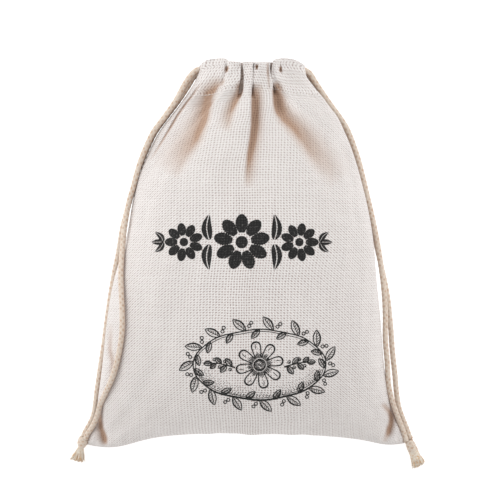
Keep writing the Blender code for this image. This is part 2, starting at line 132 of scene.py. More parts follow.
def smooth_route(points, step):
    """A cubic curve through the points, read off at even steps along its length."""
    points = np.array(points, float)
    padded = np.concatenate([[2 * points[0] - points[1]], points, [2 * points[-1] - points[-2]]])
    t = np.linspace(0, 1, ROUTE_PARTS, endpoint=False)[None, :, None]
    neighbours = (padded[k:len(padded) - 3 + k, None] for k in range(4))
    dense = np.concatenate([cubic(*neighbours, t).reshape(-1, 3), points[-1:]])
    run = run_along(dense)
    places = np.linspace(0, run[-1], max(2, round(run[-1] / step)) + 1)
    return np.stack([np.interp(places, run, dense[:, axis]) for axis in range(3)], axis=1)


def square_to(direction):
    """For unit directions, the level ones square to them, and the rising ones square to both."""
    side = np.cross(direction, (0.0, 0.0, 1.0))
    side /= np.linalg.norm(side, axis=-1, keepdims=True)
    return side, np.cross(side, direction)


def braid(turn, run, yarns=BRAID_YARNS, pitch=BRAID_PITCH):
    """Relief of a braid, -1 to 1: the higher of two cosines, one for each way the yarns wind."""
    wind = 2 * np.pi * run / pitch
    return np.maximum(np.cos(yarns * (turn - wind)), np.cos(yarns * (turn + wind)))


def tube(path, radius, sides, yarns=BRAID_YARNS, pitch=BRAID_PITCH, depth=BRAID_DEPTH, flatness=1.0,
         shaded=0.9):
    """Rings round a path, square to it. Each point stands off by the radius at its row, less the share
    depth of it in the braid's grooves, and times the flatness in the way that rises.

    Gives the points, how deep each lies in a groove, how far each is turned to the shade, and the
    faces with flat ends. The shade is the underside, turned by the angle shaded: over zero towards +X
    and under zero towards -X, where the path runs towards -Y.
    """
    direction = np.gradient(path, axis=0)
    direction /= np.linalg.norm(direction, axis=1, keepdims=True)
    side, up = square_to(direction)
    turn = np.linspace(0, 2 * np.pi, sides, endpoint=False)[None, :]
    over = braid(turn, run_along(path)[:, None], yarns, pitch)
    off = np.asarray(radius, float).reshape(-1, 1) * (1 - depth * (1 - over) / 2)
    points = (path[:, None] + side[:, None] * (np.cos(turn) * off)[..., None]
              + up[:, None] * (np.sin(turn) * off * flatness)[..., None])
    ids = np.arange(over.size).reshape(over.shape)
    after = np.roll(ids, -1, axis=1)
    faces = np.stack([ids[:-1], after[:-1], after[1:], ids[1:]], -1).reshape(-1, 4).tolist()
    faces += [ids[0].tolist(), ids[-1][::-1].tolist()]
    under = np.broadcast_to(np.clip(-np.sin(turn + shaded), 0, 1), over.shape)
    return points.reshape(-1, 3), ((1 - over) / 2).ravel(), under.ravel(), faces


def new_piece(name, points, faces, finish, corner_uv=None, values=None, outwards=True):
    """A mesh from points in millimetres and faces as rows of point numbers.

    corner_uv is one pair for each corner of each face, in order, and values are named numbers for
    each point, for the material to read.
    """
    mesh = bpy.data.meshes.new(name)
    mesh.from_pydata(np.asarray(points) * 0.001, [], faces)
    if corner_uv is not None:
        mesh.uv_layers.new(name="cloth").data.foreach_set("uv", np.asarray(corner_uv, np.float32).ravel())
    for key, numbers in (values or {}).items():
        mesh.attributes.new(key, "FLOAT", "POINT").data.foreach_set("value", np.asarray(numbers, np.float32))
    if outwards:
        work = bmesh.new()
        work.from_mesh(mesh)
        bmesh.ops.recalc_face_normals(work, faces=work.faces)
        work.to_mesh(mesh)
        work.free()
    mesh.shade_smooth()
    mesh.materials.append(finish)
    piece = bpy.data.objects.new(name, mesh)
    scene.collection.objects.link(piece)
    return piece


def node(tree, kind, inputs=None, **settings):
    """A shader node with its settings, and for each input a value or the output that feeds it."""
    made = tree.nodes.new("ShaderNode" + kind)
    for name, value in settings.items():
        setattr(made, name, value)
    for key, value in (inputs or {}).items():
        if isinstance(value, bpy.types.NodeSocket):
            tree.links.new(value, made.inputs[key])
        else:
            made.inputs[key].default_value = value
    return made


def calc(tree, operation, *values, clamp=False):
    """One step of arithmetic on numbers or outputs, and its result."""
    return node(tree, "Math", dict(enumerate(values)), operation=operation, use_clamp=clamp).outputs[0]


def blend_colours(tree, share, first, second, mode="MIX"):
    """Two colours mixed by a share, and the result."""
    made = node(tree, "Mix", {0: share, 6: first, 7: second}, data_type="RGBA", blend_type=mode)
    return made.outputs[2]


def new_finish(name, roughness):
    """A material with its shader, ready for colour and relief."""
    finish = bpy.data.materials.new(name)
    finish.use_nodes = True
    shader = finish.node_tree.nodes["Principled BSDF"]
    shader.inputs["Roughness"].default_value = roughness
    return finish, finish.node_tree, shader


def noise(tree, place, scale, detail):
    """Cloudy noise, 0 to 1, with about scale patches in a metre, and fine detail on them."""
    return node(tree, "TexNoise", {"Vector": place, "Scale": scale, "Detail": detail}).outputs[0]


def past(tree, value, limit, steepness):
    """How far a value is past a limit, times a steepness, held between 0 and 1."""
    return calc(tree, "MULTIPLY", calc(tree, "SUBTRACT", value, limit), steepness, clamp=True)


def raise_surface(tree, shader, height, strength, distance):
    """Gives a material relief: a height times a distance in metres, at a strength."""
    bump = node(tree, "Bump", {"Strength": strength, "Distance": distance, "Height": height})
    tree.links.new(bump.outputs[0], shader.inputs["Normal"])


COTTON = (0.66, 0.565, 0.475, 1.0)
COTTON_GROOVE = (0.42, 0.225, 0.115, 1.0)
# Colour of the painted shade on the strands' undersides
COTTON_PAINTED_SHADE = (0.58, 0.34, 0.18, 1.0)
COTTON_FIBRE = (0.82, 0.76, 0.68, 1.0)
# Patches in a metre: of tint in the grooves, of specks and of fibres
TINT_SCALE, SPECK_SCALE, FIBRE_SCALE = 230.0, 620.0, 1900.0
# Share of the painted shade on the underside, and share of the pale fibres
PAINTED_SHADE_SHARE, FIBRE_SHARE = 0.8, 0.25


def cotton_finish(name, pale, groove, groove_share, speck_share):
    """Raw cotton yarn: pale and matt, with warm brown in the grooves of the braid, small specks and
    fine fibres. The under value paints a brown shade on each strand's shaded underside."""
    finish, tree, shader = new_finish(name, 0.9)
    place = node(tree, "TexCoord").outputs["Object"]
    groove_depth = node(tree, "Attribute", attribute_name="groove").outputs["Fac"]
    fibre = noise(tree, place, FIBRE_SCALE, 3.0)
    tinted = past(tree, noise(tree, place, TINT_SCALE, 3.0), 0.33, 4.5)
    deep = calc(tree, "MULTIPLY", calc(tree, "POWER", groove_depth, 1.3), tinted)
    speck = past(tree, noise(tree, place, SPECK_SCALE, 1.0), 0.56, 9.0)
    brown = calc(tree, "ADD", calc(tree, "MULTIPLY", deep, groove_share),
                 calc(tree, "MULTIPLY", speck, speck_share), clamp=True)
    colour = blend_colours(tree, brown, pale, groove)
    # Painted shade: each strand's underside, turned to its shaded side, is multiplied towards brown
    under = node(tree, "Attribute", attribute_name="under").outputs["Fac"]
    colour = blend_colours(tree, calc(tree, "MULTIPLY", under, PAINTED_SHADE_SHARE), colour, COTTON_PAINTED_SHADE, "MULTIPLY")
    colour = blend_colours(tree, calc(tree, "MULTIPLY", fibre, FIBRE_SHARE), colour, COTTON_FIBRE)
    tree.links.new(colour, shader.inputs["Base Color"])
    raise_surface(tree, shader, fibre, strength=0.5, distance=0.0003)
    shader.inputs["Sheen Weight"].default_value = 0.2
    return finish


cotton = cotton_finish("braided_cotton", COTTON, COTTON_GROOVE, groove_share=0.95, speck_share=0.2)
strands = {}
for name, route in CORD_ROUTES.items():
    path = smooth_route(CORD_ENTRIES[name] + route, CORD_STEP)
    points, grooves, under, faces = tube(path, CORD_RADIUS, CORD_SIDES, shaded=SHADED_SIDE[name])
    strand = new_piece("drawcord_" + name + "_braid", points, faces, cotton,
                       values={"groove": grooves, "under": under})
    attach(strand, "root")
    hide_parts("drawcord_" + name)
    strands[name] = (strand, path)


# The knots: the same braided cotton. Each pair of strands is wrapped round itself once and pulled
# tight past the corner, so that a round body shows with one thick turn over it.
KNOT_AXES = {
    "left": ((-147.7, -170.0, 8.3), (-151.0, -178.6, 5.6)),
    "right": ((150.9, -172.8, 7.0), (155.2, -182.3, 5.8)),
}
# Shares of a knot's axis, and the radii of its body there
KNOT_PLACES = (0, 0.16, 0.36, 0.52, 0.7, 0.88, 1)
KNOT_RADII = {"left": (4.2, 5.0, 5.2, 4.6, 4.6, 3.9, 3.0), "right": (4.0, 4.2, 4.4, 4.5, 4.6, 4.7, 4.8)}
KNOT_ROWS, KNOT_SIDES = 40, 32
# The wrap: how far its middle stands off the axis, where on the axis it starts and how far it goes,
# its radius, its first angle and its turns, and how many of its thin ends would make up its length
WRAP_REACH = {"left": 3.1, "right": 2.9}
WRAP_START, WRAP_LENGTH = 0.42, 0.3
WRAP_RADIUS = 1.75
WRAP_ANGLE, WRAP_TURNS = 0.3, 1.2
WRAP_ENDS = 6
WRAP_ROWS, WRAP_SIDES = 60, 16
FLOOR_GAP = 0.1


def joined(parts):
    """Several shapes as one: points, grooves, undersides and faces put after each other."""
    faces, start = [], 0
    for part in parts:
        faces += [[v + start for v in face] for face in part[3]]
        start += len(part[0])
    return *(np.concatenate([part[k] for part in parts]) for k in range(3)), faces


def knot_shape(side):
    """A braided body whose radius changes along the knot's axis, and a braided wrap that winds round
    that axis as a helix and is thinner at both ends. Nothing lies lower than just over the floor."""
    start, end = (np.array(point) for point in KNOT_AXES[side])
    place = np.linspace(0, 1, KNOT_ROWS)
    body = tube(start + (end - start) * place[:, None], np.interp(place, KNOT_PLACES, KNOT_RADII[side]),
                KNOT_SIDES, yarns=4, pitch=18.0, depth=0.16)
    level_side, up = square_to((end - start) / np.linalg.norm(end - start))
    place = np.linspace(0, 1, WRAP_ROWS)[:, None]
    turn = np.linspace(WRAP_ANGLE, WRAP_ANGLE + WRAP_TURNS * 2 * np.pi, WRAP_ROWS)[:, None]
    middle = (start + (end - start) * (WRAP_START + WRAP_LENGTH * place)
              + WRAP_REACH[side] * (level_side * np.cos(turn) + up * np.sin(turn)))
    from_ends = np.minimum(np.linspace(0, WRAP_ENDS, WRAP_ROWS), np.linspace(WRAP_ENDS, 0, WRAP_ROWS))
    wrap = tube(middle, WRAP_RADIUS * np.clip(from_ends, 0.35, 1), WRAP_SIDES, yarns=3, pitch=9.0, depth=0.14)
    points, grooves, under, faces = joined([body, wrap])
    points[:, 2] = np.maximum(points[:, 2], FLOOR_GAP)
    return points, grooves, under, faces


for side in KNOT_AXES:
    points, grooves, under, faces = knot_shape(side)
    knot = new_piece("knot_" + side + "_wrap", points, faces, cotton,
                     values={"groove": grooves, "under": under})
    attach(knot, "root")
    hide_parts("knot_" + side)


# The frayed ends: below each knot the strands' cut cotton yarns come apart, out of a short neck, in a
# flat fan on the left and a blunt brush on the right. Sizes are across and through at root and tip.
FRAYED = {
    "left": dict(start=(-151.1, -178.9, 5.5), root=(-152.7, -184.2, 4.2), tip=(-154.9, -192.4, 3.7),
                 root_size=(8.4, 4.8), tip_size=(14.0, 5.4), yarns=86, neck=2.9),
    "right": dict(start=(155.0, -182.0, 5.8), root=(158.6, -191.0, 5.2), tip=(161.0, -196.8, 4.9),
                  root_size=(10.8, 7.6), tip_size=(11.8, 8.2), yarns=130, neck=4.7),
}
CUT_COTTON, CUT_COTTON_SPECK = (0.77, 0.70, 0.60, 1.0), (0.58, 0.33, 0.13, 1.0)
YARN_RINGS, YARN_CORNERS = 12, 4
# A yarn's half width at its start, near its end and at its end
YARN_PLACES, YARN_RADII = (0, 0.85, 1), (0.55, 0.5, 0.3)
NECK_ROWS, NECK_SIDES = 12, 20


def loose_yarns(cut):
    """Cut yarns with square sections, from the neck to the tip. Seen from the tip they fill an oval:
    each is turned by the golden angle from the last, and stands off by the square root of its share of
    the count. The oval changes evenly from neck to root and from root to tip. The sine of a yarn's
    number shortens it, waves it and curls its end."""
    start, root, tip = (np.array(cut[key]) for key in ("start", "root", "tip"))
    length = np.linalg.norm(tip - start)
    along = (tip - start) / length
    level_side, up = square_to(along)
    number = np.arange(cut["yarns"])
    golden = number * math.pi * (3 - math.sqrt(5))
    spread = np.sqrt((number + 0.5) / len(number))
    wide, deep = (spread * np.cos(golden))[:, None], (spread * np.sin(golden))[:, None]
    jitter = np.sin(number * 12.9898)[:, None]
    t = np.linspace(0, 1, YARN_RINGS)[None, :]
    reach = length * (0.93 + 0.07 * jitter) * t
    root_at = np.linalg.norm(root - start) / length
    half_wide, half_deep = (np.interp(t, (0, root_at, 1), (cut["neck"] * 0.8, at_root / 2, at_tip / 2))
                            for at_root, at_tip in zip(cut["root_size"], cut["tip_size"]))
    wave = 0.35 * t * np.sin(9 * t + 6 * jitter)
    curl = 1.1 * jitter * t ** 3
    axis = (start + along * reach[..., None] + level_side * (wide * half_wide * 0.94 + wave + curl)[..., None]
            + up * (deep * half_deep * 0.9 + 0.3 * wave)[..., None])
    thick = np.interp(t, YARN_PLACES, YARN_RADII) * (1 + 0.25 * np.cos(5 * jitter))
    turn = np.linspace(0, 2 * np.pi, YARN_CORNERS, endpoint=False)[:, None]
    points = axis[:, :, None] + thick[..., None, None] * (level_side * np.cos(turn) + up * np.sin(turn))
    ids = np.arange(points[..., 0].size).reshape(points.shape[:3])
    after = np.roll(ids, -1, axis=2)
    faces = np.stack([ids[:, :-1], after[:, :-1], after[:, 1:], ids[:, 1:]], -1).reshape(-1, 4).tolist()
    faces += ids[:, 0].tolist() + ids[:, -1, ::-1].tolist()
    tinted = np.clip(np.abs(np.sin(number * 3.7)) * 2.4 - 1.2, 0, 1)[:, None, None]
    shade = np.broadcast_to(0.2 + tinted * t[..., None] ** 1.5, ids.shape)
    return points.reshape(-1, 3), shade.ravel(), np.zeros(shade.size), faces


def neck_tube(cut):
    """The braid between knot and loose yarns: even at first, then wider towards the root."""
    start, root = np.array(cut["start"]), np.array(cut["root"])
    path = start + (root - start) * np.linspace(-0.1, 1, NECK_ROWS)[:, None]
    root_radius = cut["root_size"][0] / 2 * 0.9
    radius = np.interp(np.linspace(0, 1, NECK_ROWS), (0, 0.5, 1), (cut["neck"], cut["neck"], root_radius))
    return tube(path, radius, NECK_SIDES, yarns=4, pitch=11.0, depth=0.16, flatness=0.85)


cut_yarn = cotton_finish("cut_cotton_yarn", CUT_COTTON, CUT_COTTON_SPECK, groove_share=0.9, speck_share=0.75)
for side, cut in FRAYED.items():
    points, grooves, under, faces = joined([loose_yarns(cut), neck_tube(cut)])
    points[:, 2] = np.maximum(points[:, 2], FLOOR_GAP)
    brush = new_piece("frayed_end_" + side + "_yarns", points, faces, cut_yarn,
                      values={"groove": grooves, "under": under})
    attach(brush, "root")
    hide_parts("frayed_end_" + side)

for name, (strand, path) in strands.items():
    side = name.split("_")[0]


# The bag: one linen panel in front and one behind, sewn together at the sides and the bottom, with a
# turned and gathered casing round the mouth. The filling holds it out like a cushion.
CLOTH_WALL = 1.2
SEAM_LIP = 2.0
FLOOR_SOFTNESS = 4.0
RIM_LOBE_RISE = 6.0
# Lobes that stand over the rim's middle: place across, width on the left side and on the right side
RIM_LOBES = ((-0.75, 0.17, 0.27), (0.72, 0.20, 0.16))

# Rows from the bottom seam to the rim: y at the row's middle and sides, x at its left and right ends,
# the seam's height at the middle and sides, rise of the front panel and drop of the back, flank shape,
# share of pleats, and width inside as a share of the width outside
LEVELS = np.array((
    (-163.0, -174.5, -145.6, 147.2, 34.0, 8.0, 0.0, 0.0, 1.60, 0.0, 0.50),
    (-162.3, -172.0, -144.8, 146.4, 34.2, 8.6, 8.5, 9.0, 1.60, 0.0, 0.53),
    (-160.0, -167.0, -143.4, 144.2, 34.6, 9.8, 15.0, 17.0, 1.55, 0.0, 0.57),
    (-155.5, -160.0, -140.8, 141.4, 35.3, 11.5, 23.0, 26.0, 1.50, 0.0, 0.62),
    (-148.0, -151.5, -137.8, 138.2, 36.5, 14.5, 31.0, 37.0, 1.40, 0.0, 0.68),
    (-136.5, -139.0, -135.0, 133.8, 38.2, 20.0, 40.0, 47.0, 1.25, 0.0, 0.78),
    (-119.5, -120.5, -131.8, 129.2, 40.2, 28.0, 47.0, 55.0, 1.10, 0.0, 0.90),
    (-94.5, -95.0, -127.6, 125.4, 41.5, 36.0, 52.0, 59.0, 1.00, 0.0, 0.95),
    (-61.5, -61.5, -123.9, 122.6, 42.0, 41.0, 54.0, 61.0, 1.00, 0.0, 0.95),
    (-24.5, -24.5, -118.0, 118.8, 42.0, 42.0, 54.0, 61.0, 1.00, 0.0, 0.95),
    (12.5, 12.5, -107.0, 115.9, 42.0, 42.0, 52.0, 60.0, 1.00, 0.0, 0.95),
    (45.5, 45.5, -101.0, 110.0, 42.0, 42.0, 48.0, 57.0, 1.00, 0.05, 0.95),
    (72.5, 70.5, -95.0, 103.6, 42.0, 42.0, 44.0, 52.0, 0.98, 0.14, 0.95),
    (94.0, 90.0, -86.6, 97.8, 42.0, 42.0, 40.0, 45.0, 0.95, 0.28, 0.95),
    (112.0, 107.0, -78.4, 91.0, 42.0, 42.0, 36.5, 39.0, 0.90, 0.45, 0.95),
    (127.0, 121.0, -68.4, 84.6, 42.0, 42.0, 33.5, 34.0, 0.83, 0.63, 0.95),
    (139.0, 132.0, -59.8, 76.6, 42.0, 42.0, 31.5, 31.0, 0.75, 0.80, 0.86),
    (147.5, 141.0, -53.4, 69.0, 42.0, 42.0, 30.0, 29.0, 0.67, 0.92, 0.79),
    (154.0, 149.0, -48.0, 61.8, 42.0, 42.0, 28.8, 28.0, 0.60, 1.0, 0.79),
    (159.5, 156.5, -43.6, 56.4, 42.0, 42.0, 28.0, 27.2, 0.56, 1.0, 0.79),
    (164.5, 162.5, -41.4, 54.3, 42.0, 42.0, 27.5, 26.5, 0.55, 1.0, 0.79),
    (169.0, 167.5, -41.0, 54.0, 42.0, 42.0, 27.0, 26.0, 0.55, 1.0, 0.79),
))
RIM_LEVEL = len(LEVELS) - 1
CASING_LEVEL = 17
FIRST_HOLLOW_LEVEL = 1.5

# Pleats as (place across the laid-out cloth, its share of the half width once gathered)
FRONT_PLEATS = ((-1.0, -1.0), (-0.56, -0.472), (-0.24, -0.179), (0.015, 0.019), (0.46, 0.368), (1.0, 1.0))
BACK_PLEATS = ((-1.0, -1.0), (-0.52, -0.45), (-0.14, -0.12), (0.22, 0.2), (0.6, 0.52), (1.0, 1.0))
PLEAT_STEEPNESS = 0.85

# Valleys: place at the rim, its shift for each level, level of the end, depth, widths at the casing
# and at the end, fade, and how much steeper the valley's right side is than its left
FRONT_FOLDS = (
    (-0.56, 0.0170, 15.0, 0.06, 0.050, 0.080, 0.8, 0.50),
    (-0.24, -0.0080, 15.9, 0.32, 0.016, 0.018, 0.9, 0.50),
    (0.015, 0.0158, 15.7, 0.32, 0.016, 0.026, 0.9, -0.60),
    (0.46, 0.0400, 16.0, 0.27, 0.018, 0.024, 1.0, -0.50),
)
BACK_FOLDS = (
    (-0.52, 0.0, 11.2, 0.70, 0.075, 0.15, 1.2, 0.0),
    (-0.14, 0.0, 12.0, 0.70, 0.065, 0.09, 1.2, 0.0),
    (0.22, 0.0, 11.4, 0.70, 0.070, 0.12, 1.2, 0.0),
    (0.60, 0.0, 11.8, 0.70, 0.075, 0.14, 1.2, 0.0),
)
FOLD_ROUNDING = 0.012
FOLD_LIMIT = 0.8
# Where the bottom seam hangs lower beside the corners: x, width, how far
CORNER_SAGS = ((-118.0, 26.0, 5.2), (129.0, 16.0, 2.0))
# Creases that part the flat corners from the filled front: x, lean, level, reach, depth, width
CORNER_CREASES = ((-130.0, -1.6, 2.6, 3.4, 4.5, 4.0), (131.5, 1.6, 2.8, 2.8, 4.5, 4.0))
# Power of a row's droop and how far it passes the sides, power by which a panel stays even up to its
# seams, and the levels over which the corner sags fade
DROOP_POWER, DROOP_REACH, SEAM_POWER, SAG_LEVELS = 2.2, 0.3, 10, 1.6


def row_values(level):
    """The columns of LEVELS at any level, on a cubic curve through its rows, one array a column."""
    low = np.clip(np.floor(level).astype(int), 0, RIM_LEVEL - 1)
    before, here = LEVELS[np.maximum(low - 1, 0)], LEVELS[low]
    there, after = LEVELS[low + 1], LEVELS[np.minimum(low + 2, RIM_LEVEL)]
    return np.moveaxis(cubic(before, here, there, after, (level - low)[..., None]), -1, 0)


def gathered_place(across, pleats):
    """Share of the half width in full pleats: between two valleys it eases by a sine, fast over the
    lobe and nearly still in the valleys."""
    knots, places = np.array(pleats).T
    segment = np.clip(np.searchsorted(knots, across, side="right") - 1, 0, len(knots) - 2)
    t = (across - knots[segment]) / (knots[segment + 1] - knots[segment])
    eased = t - PLEAT_STEEPNESS * np.sin(2 * np.pi * t) / (2 * np.pi)
    return places[segment] + (places[segment + 1] - places[segment]) * eased


def fold_share(across, level, folds):
    """Share of the height lost in the valleys: for each, depth times fade upwards times e to the
    minus rounded distance over width, with a narrower width on its steep side, up to a limit in all."""
    share = np.zeros_like(across)
    for place, shift, end_level, depth, width_top, width_end, fade, steep in folds:
        up = np.clip((level - end_level) / (CASING_LEVEL - end_level), 0, 1)
        offset = across - place - shift * (level - RIM_LEVEL)
        distance = np.sqrt(offset ** 2 + FOLD_ROUNDING ** 2) - FOLD_ROUNDING
        width = (width_end + (width_top - width_end) * up) * (1 - steep * np.tanh(offset / FOLD_ROUNDING))
        share += depth * up ** fade * np.exp(-distance / width)
    return np.minimum(share, FOLD_LIMIT)


def corner_crease(x, level):
    """Depth of the troughs at the flat corners: a bell across each line, faded by level."""
    depth = np.zeros_like(x)
    for place, lean, middle, reach, deep, width in CORNER_CREASES:
        fade = np.clip(1 - ((level - middle) / reach) ** 2, 0, 1) * np.clip(level, 0, 1)
        depth += deep * fade * np.exp(-((x - place - lean * (level - middle)) / width) ** 2)
    return depth


def rim_rise(across, level):
    """How far the rim's lobes stand above its middle: bells across, grown evenly from the stitches."""
    lobes = sum(np.exp(-((across - at) / np.where(across < at, on_left, on_right)) ** 2)
                for at, on_left, on_right in RIM_LOBES)
    return RIM_LOBE_RISE * lobes * np.clip((level - CASING_LEVEL) / (RIM_LEVEL - CASING_LEVEL), 0, 1)


def panel_surface(across, level, is_front):
    """A panel's main form: half an ellipse across the bag, x by the sine and z by the cosine of a
    quarter turn times across, drawn to the pleats by gather and less the valleys' share. The row
    droops from its middle to its sides by a power of the sine, and runs nearly level near the seams.
    Both panels stand off the seams by a small lip, and the back one is flattened by the floor."""
    y_mid, y_side, left, right, seam_mid, seam_side, rise, drop, edge, gather, _ = row_values(level)
    pleats, folds = (FRONT_PLEATS, FRONT_FOLDS) if is_front else (BACK_PLEATS, BACK_FOLDS)
    sine = np.sin(across * np.pi / 2)
    cosine = np.maximum(np.cos(across * np.pi / 2), 0.0)
    place = (1 - gather) * sine + gather * gathered_place(across, pleats)
    x = (left + right) / 2 + (right - left) / 2 * place
    droop = np.abs(sine) ** DROOP_POWER * (1 + DROOP_REACH - DROOP_REACH * np.abs(sine) ** SEAM_POWER)
    y = y_mid + (y_side - y_mid) * droop + rim_rise(across, level)
    for x_sag, sag_width, sag in CORNER_SAGS:
        y -= sag * np.exp(-((x - x_sag) / sag_width) ** 2 - level / SAG_LEVELS)
    middle = seam_mid + (seam_side - seam_mid) * np.abs(sine) ** 3
    height = cosine ** edge * (1 - fold_share(across, level, folds))
    lip = SEAM_LIP * (1 - np.abs(sine) ** SEAM_POWER) * (1 - np.exp(-3 * level))
    if is_front:
        z = middle + rise * height + lip - corner_crease(x, level)
    else:
        z = middle - drop * height - lip
        z = np.where(z <= -FLOOR_SOFTNESS, 0.0,
                     np.where(z < FLOOR_SOFTNESS, (z + FLOOR_SOFTNESS) ** 2 / (4 * FLOOR_SOFTNESS), z))
    return np.stack([x, y, z], axis=-1)


def outward(across, level, is_front):
    """Unit normal out of a panel, from small steps to both sides on its main form."""
    step = 1e-3
    along = (panel_surface(across, np.minimum(level + step, RIM_LEVEL), is_front)
             - panel_surface(across, np.maximum(level - step, 0), is_front))
    sideways = panel_surface(across + step, level, is_front) - panel_surface(across - step, level, is_front)
    normal = np.cross(sideways, along) if is_front else np.cross(along, sideways)
    return normal / np.maximum(np.linalg.norm(normal, axis=-1, keepdims=True), 1e-9)


# Creases in the front panel, seen from above and listed downwards: the depth (under zero stands up
# as a ridge), the share of the line where it is deepest, the width of its left side at both ends and
# of its right side at both ends, and points x and y
FRONT_CREASES = (
    (4.6, 0.38, (5.0, 16.5), (1.0, 7.0), (
        (-17.0, 154.5), (-23.5, 148.5), (-29.7, 140.2), (-35.9, 117.0), (-43.0, 101.0), (-54.0, 86.0),
        (-66.0, 66.0))),
    (4.8, 0.20, (3.5, 6.5), (0.7, 5.0), (
        (-2.4, 152.0), (-4.1, 142.0), (-8.6, 133.2), (-13.8, 122.6), (-17.4, 106.0))),
    (6.4, 0.18, (0.8, 2.6), (6.6, 6.2), (
        (7.2, 151.0), (7.3, 137.0), (7.4, 126.1), (7.4, 112.9), (6.3, 101.0), (4.0, 87.0), (2.6, 71.0),
        (2.0, 56.0))),
    (4.8, 0.30, (1.2, 9.0), (5.0, 14.0), (
        (25.8, 153.0), (27.2, 139.5), (29.8, 127.0), (35.0, 118.5), (44.5, 109.0), (54.0, 98.5),
        (69.0, 79.5), (85.5, 61.5))),
    (4.7, 0.40, (0.9, 1.6), (5.2, 7.0), (
        (25.9, 153.0), (26.2, 142.0), (27.4, 131.0), (31.0, 120.0))),
    (1.8, 0.50, (1.2, 1.2), (1.2, 1.2), (
        (20.4, 172.0), (20.8, 158.0), (22.5, 141.0))),
    (-1.0, 0.50, (1.4, 1.4), (1.4, 1.4), (
        (23.2, 172.0), (23.0, 158.0), (24.5, 141.0))),
    (2.6, 0.40, (0.9, 0.9), (1.1, 1.1), (
        (-38.0, 154.0), (-60.0, 123.5), (-86.0, 82.0))),
    (1.8, 0.50, (2.6, 2.6), (2.6, 2.6), (
        (-119.5, -60.0), (-120.5, -86.0), (-118.0, -98.0), (-121.0, -115.0))),
    (2.5, 0.50, (4.5, 6.5), (2.4, 2.8), (
        (-127.4, -134.4), (-130.8, -145.2), (-131.9, -151.8), (-131.2, -159.2), (-129.6, -165.8),
        (-127.8, -171.2), (-127.0, -177.0))),
    (3.0, 0.50, (2.0, 2.6), (2.8, 3.2), (
        (121.8, -136.5), (126.8, -139.0), (132.0, -145.2), (134.2, -151.5), (134.0, -158.2),
        (132.4, -164.6), (130.2, -168.6))),
)
# Small gaps left in the gathered rim where a pleat turns over: x, y, radius across, radius along
RIM_GAPS = ((-15.6, 163.8, 1.5, 2.4), (10.8, 164.8, 1.2, 1.8), (32.0, 163.8, 1.3, 1.9))
RIM_GAP_DEPTH = 4.5


def crease_depth(points):
    """Depth of the listed creases under each point: a bell across each line of points, with its
    own width on both sides. Along the line a share grows evenly from 0 to 1 at its deepest place and
    falls evenly back to 0, and the depth goes by that share times two less itself."""
    plan = points[..., :2]
    depth = np.zeros(plan.shape[:-1])
    for deep, deepest_at, left_width, right_width, line in FRONT_CREASES:
        line = np.array(line)
        starts, steps = line[:-1], np.diff(line, axis=0)
        offset = plan[..., None, :] - starts
        share = np.clip((offset * steps).sum(-1) / (steps ** 2).sum(-1), 0, 1)
        distance = np.linalg.norm(offset - share[..., None] * steps, axis=-1)
        nearest = distance.argmin(-1)[..., None]
        turned = steps[:, 0] * offset[..., 1] - steps[:, 1] * offset[..., 0]
        on_right = np.take_along_axis(turned, nearest, -1)[..., 0] > 0
        run = (nearest + np.take_along_axis(share, nearest, -1))[..., 0] / len(starts)
        fade = np.clip(np.minimum(run / deepest_at, (1 - run) / (1 - deepest_at)), 0, 1)
        width = np.where(on_right, right_width[0] + (right_width[1] - right_width[0]) * run,
                         left_width[0] + (left_width[1] - left_width[0]) * run)
        depth += deep * fade * (2 - fade) * np.exp(-(distance.min(-1) / width) ** 2)
    return depth


def rim_gap(points):
    """How far each point lies in one of the rim's small gaps: e to the minus fourth power of its
    distance from the gap's middle, in radii of the gap."""
    share = np.zeros(points.shape[:-1])
    for x, y, wide, long in RIM_GAPS:
        share += np.exp(-(((points[..., 0] - x) / wide) ** 2 + ((points[..., 1] - y) / long) ** 2) ** 2)
    return share


# Slow unevenness of the cloth, as (height, waves across, waves along, phase)
UNEVENNESS = (
    (0.50, 2.3, 1.1, 0.4), (0.42, -3.1, 2.3, 1.9), (0.34, 4.7, -2.9, 3.3), (0.26, 6.3, 4.1, 5.1),
    (0.20, -8.9, 5.3, 0.9), (0.15, 11.7, -7.1, 2.7), (0.10, 15.1, 9.7, 4.4), (0.08, -19.3, 13.9, 1.3),
)
# Ripples down from the gathers, and puckers along the casing and the bottom seam, as (height, angle across,
# angle along, phase)
GATHER_RIPPLES = ((0.70, 19, 3, 0), (0.45, 31, -5, 1))
CASING_PUCKERS = ((0.30, 130, 0, 2),)
BOTTOM_PUCKERS = ((0.35, 74, 0, 0), (0.25, 41, 0, 1))
CASING_DENT = 0.4
SIDE_PUCKER = 0.5
# Level where the ripples start and levels to their full height, and reach of the puckers: in levels
# at the casing and the bottom, and across at the sides
GATHERS_FROM, GATHERS_OVER = 11, 6
CASING_REACH, BOTTOM_REACH, SIDE_REACH = 0.35, 1.3, 0.045


def ripples(waves, across, share):
    """A sum of sines of their angles across and along."""
    return sum(height * np.sin(wide * across + long * share + phase) for height, wide, long, phase in waves)


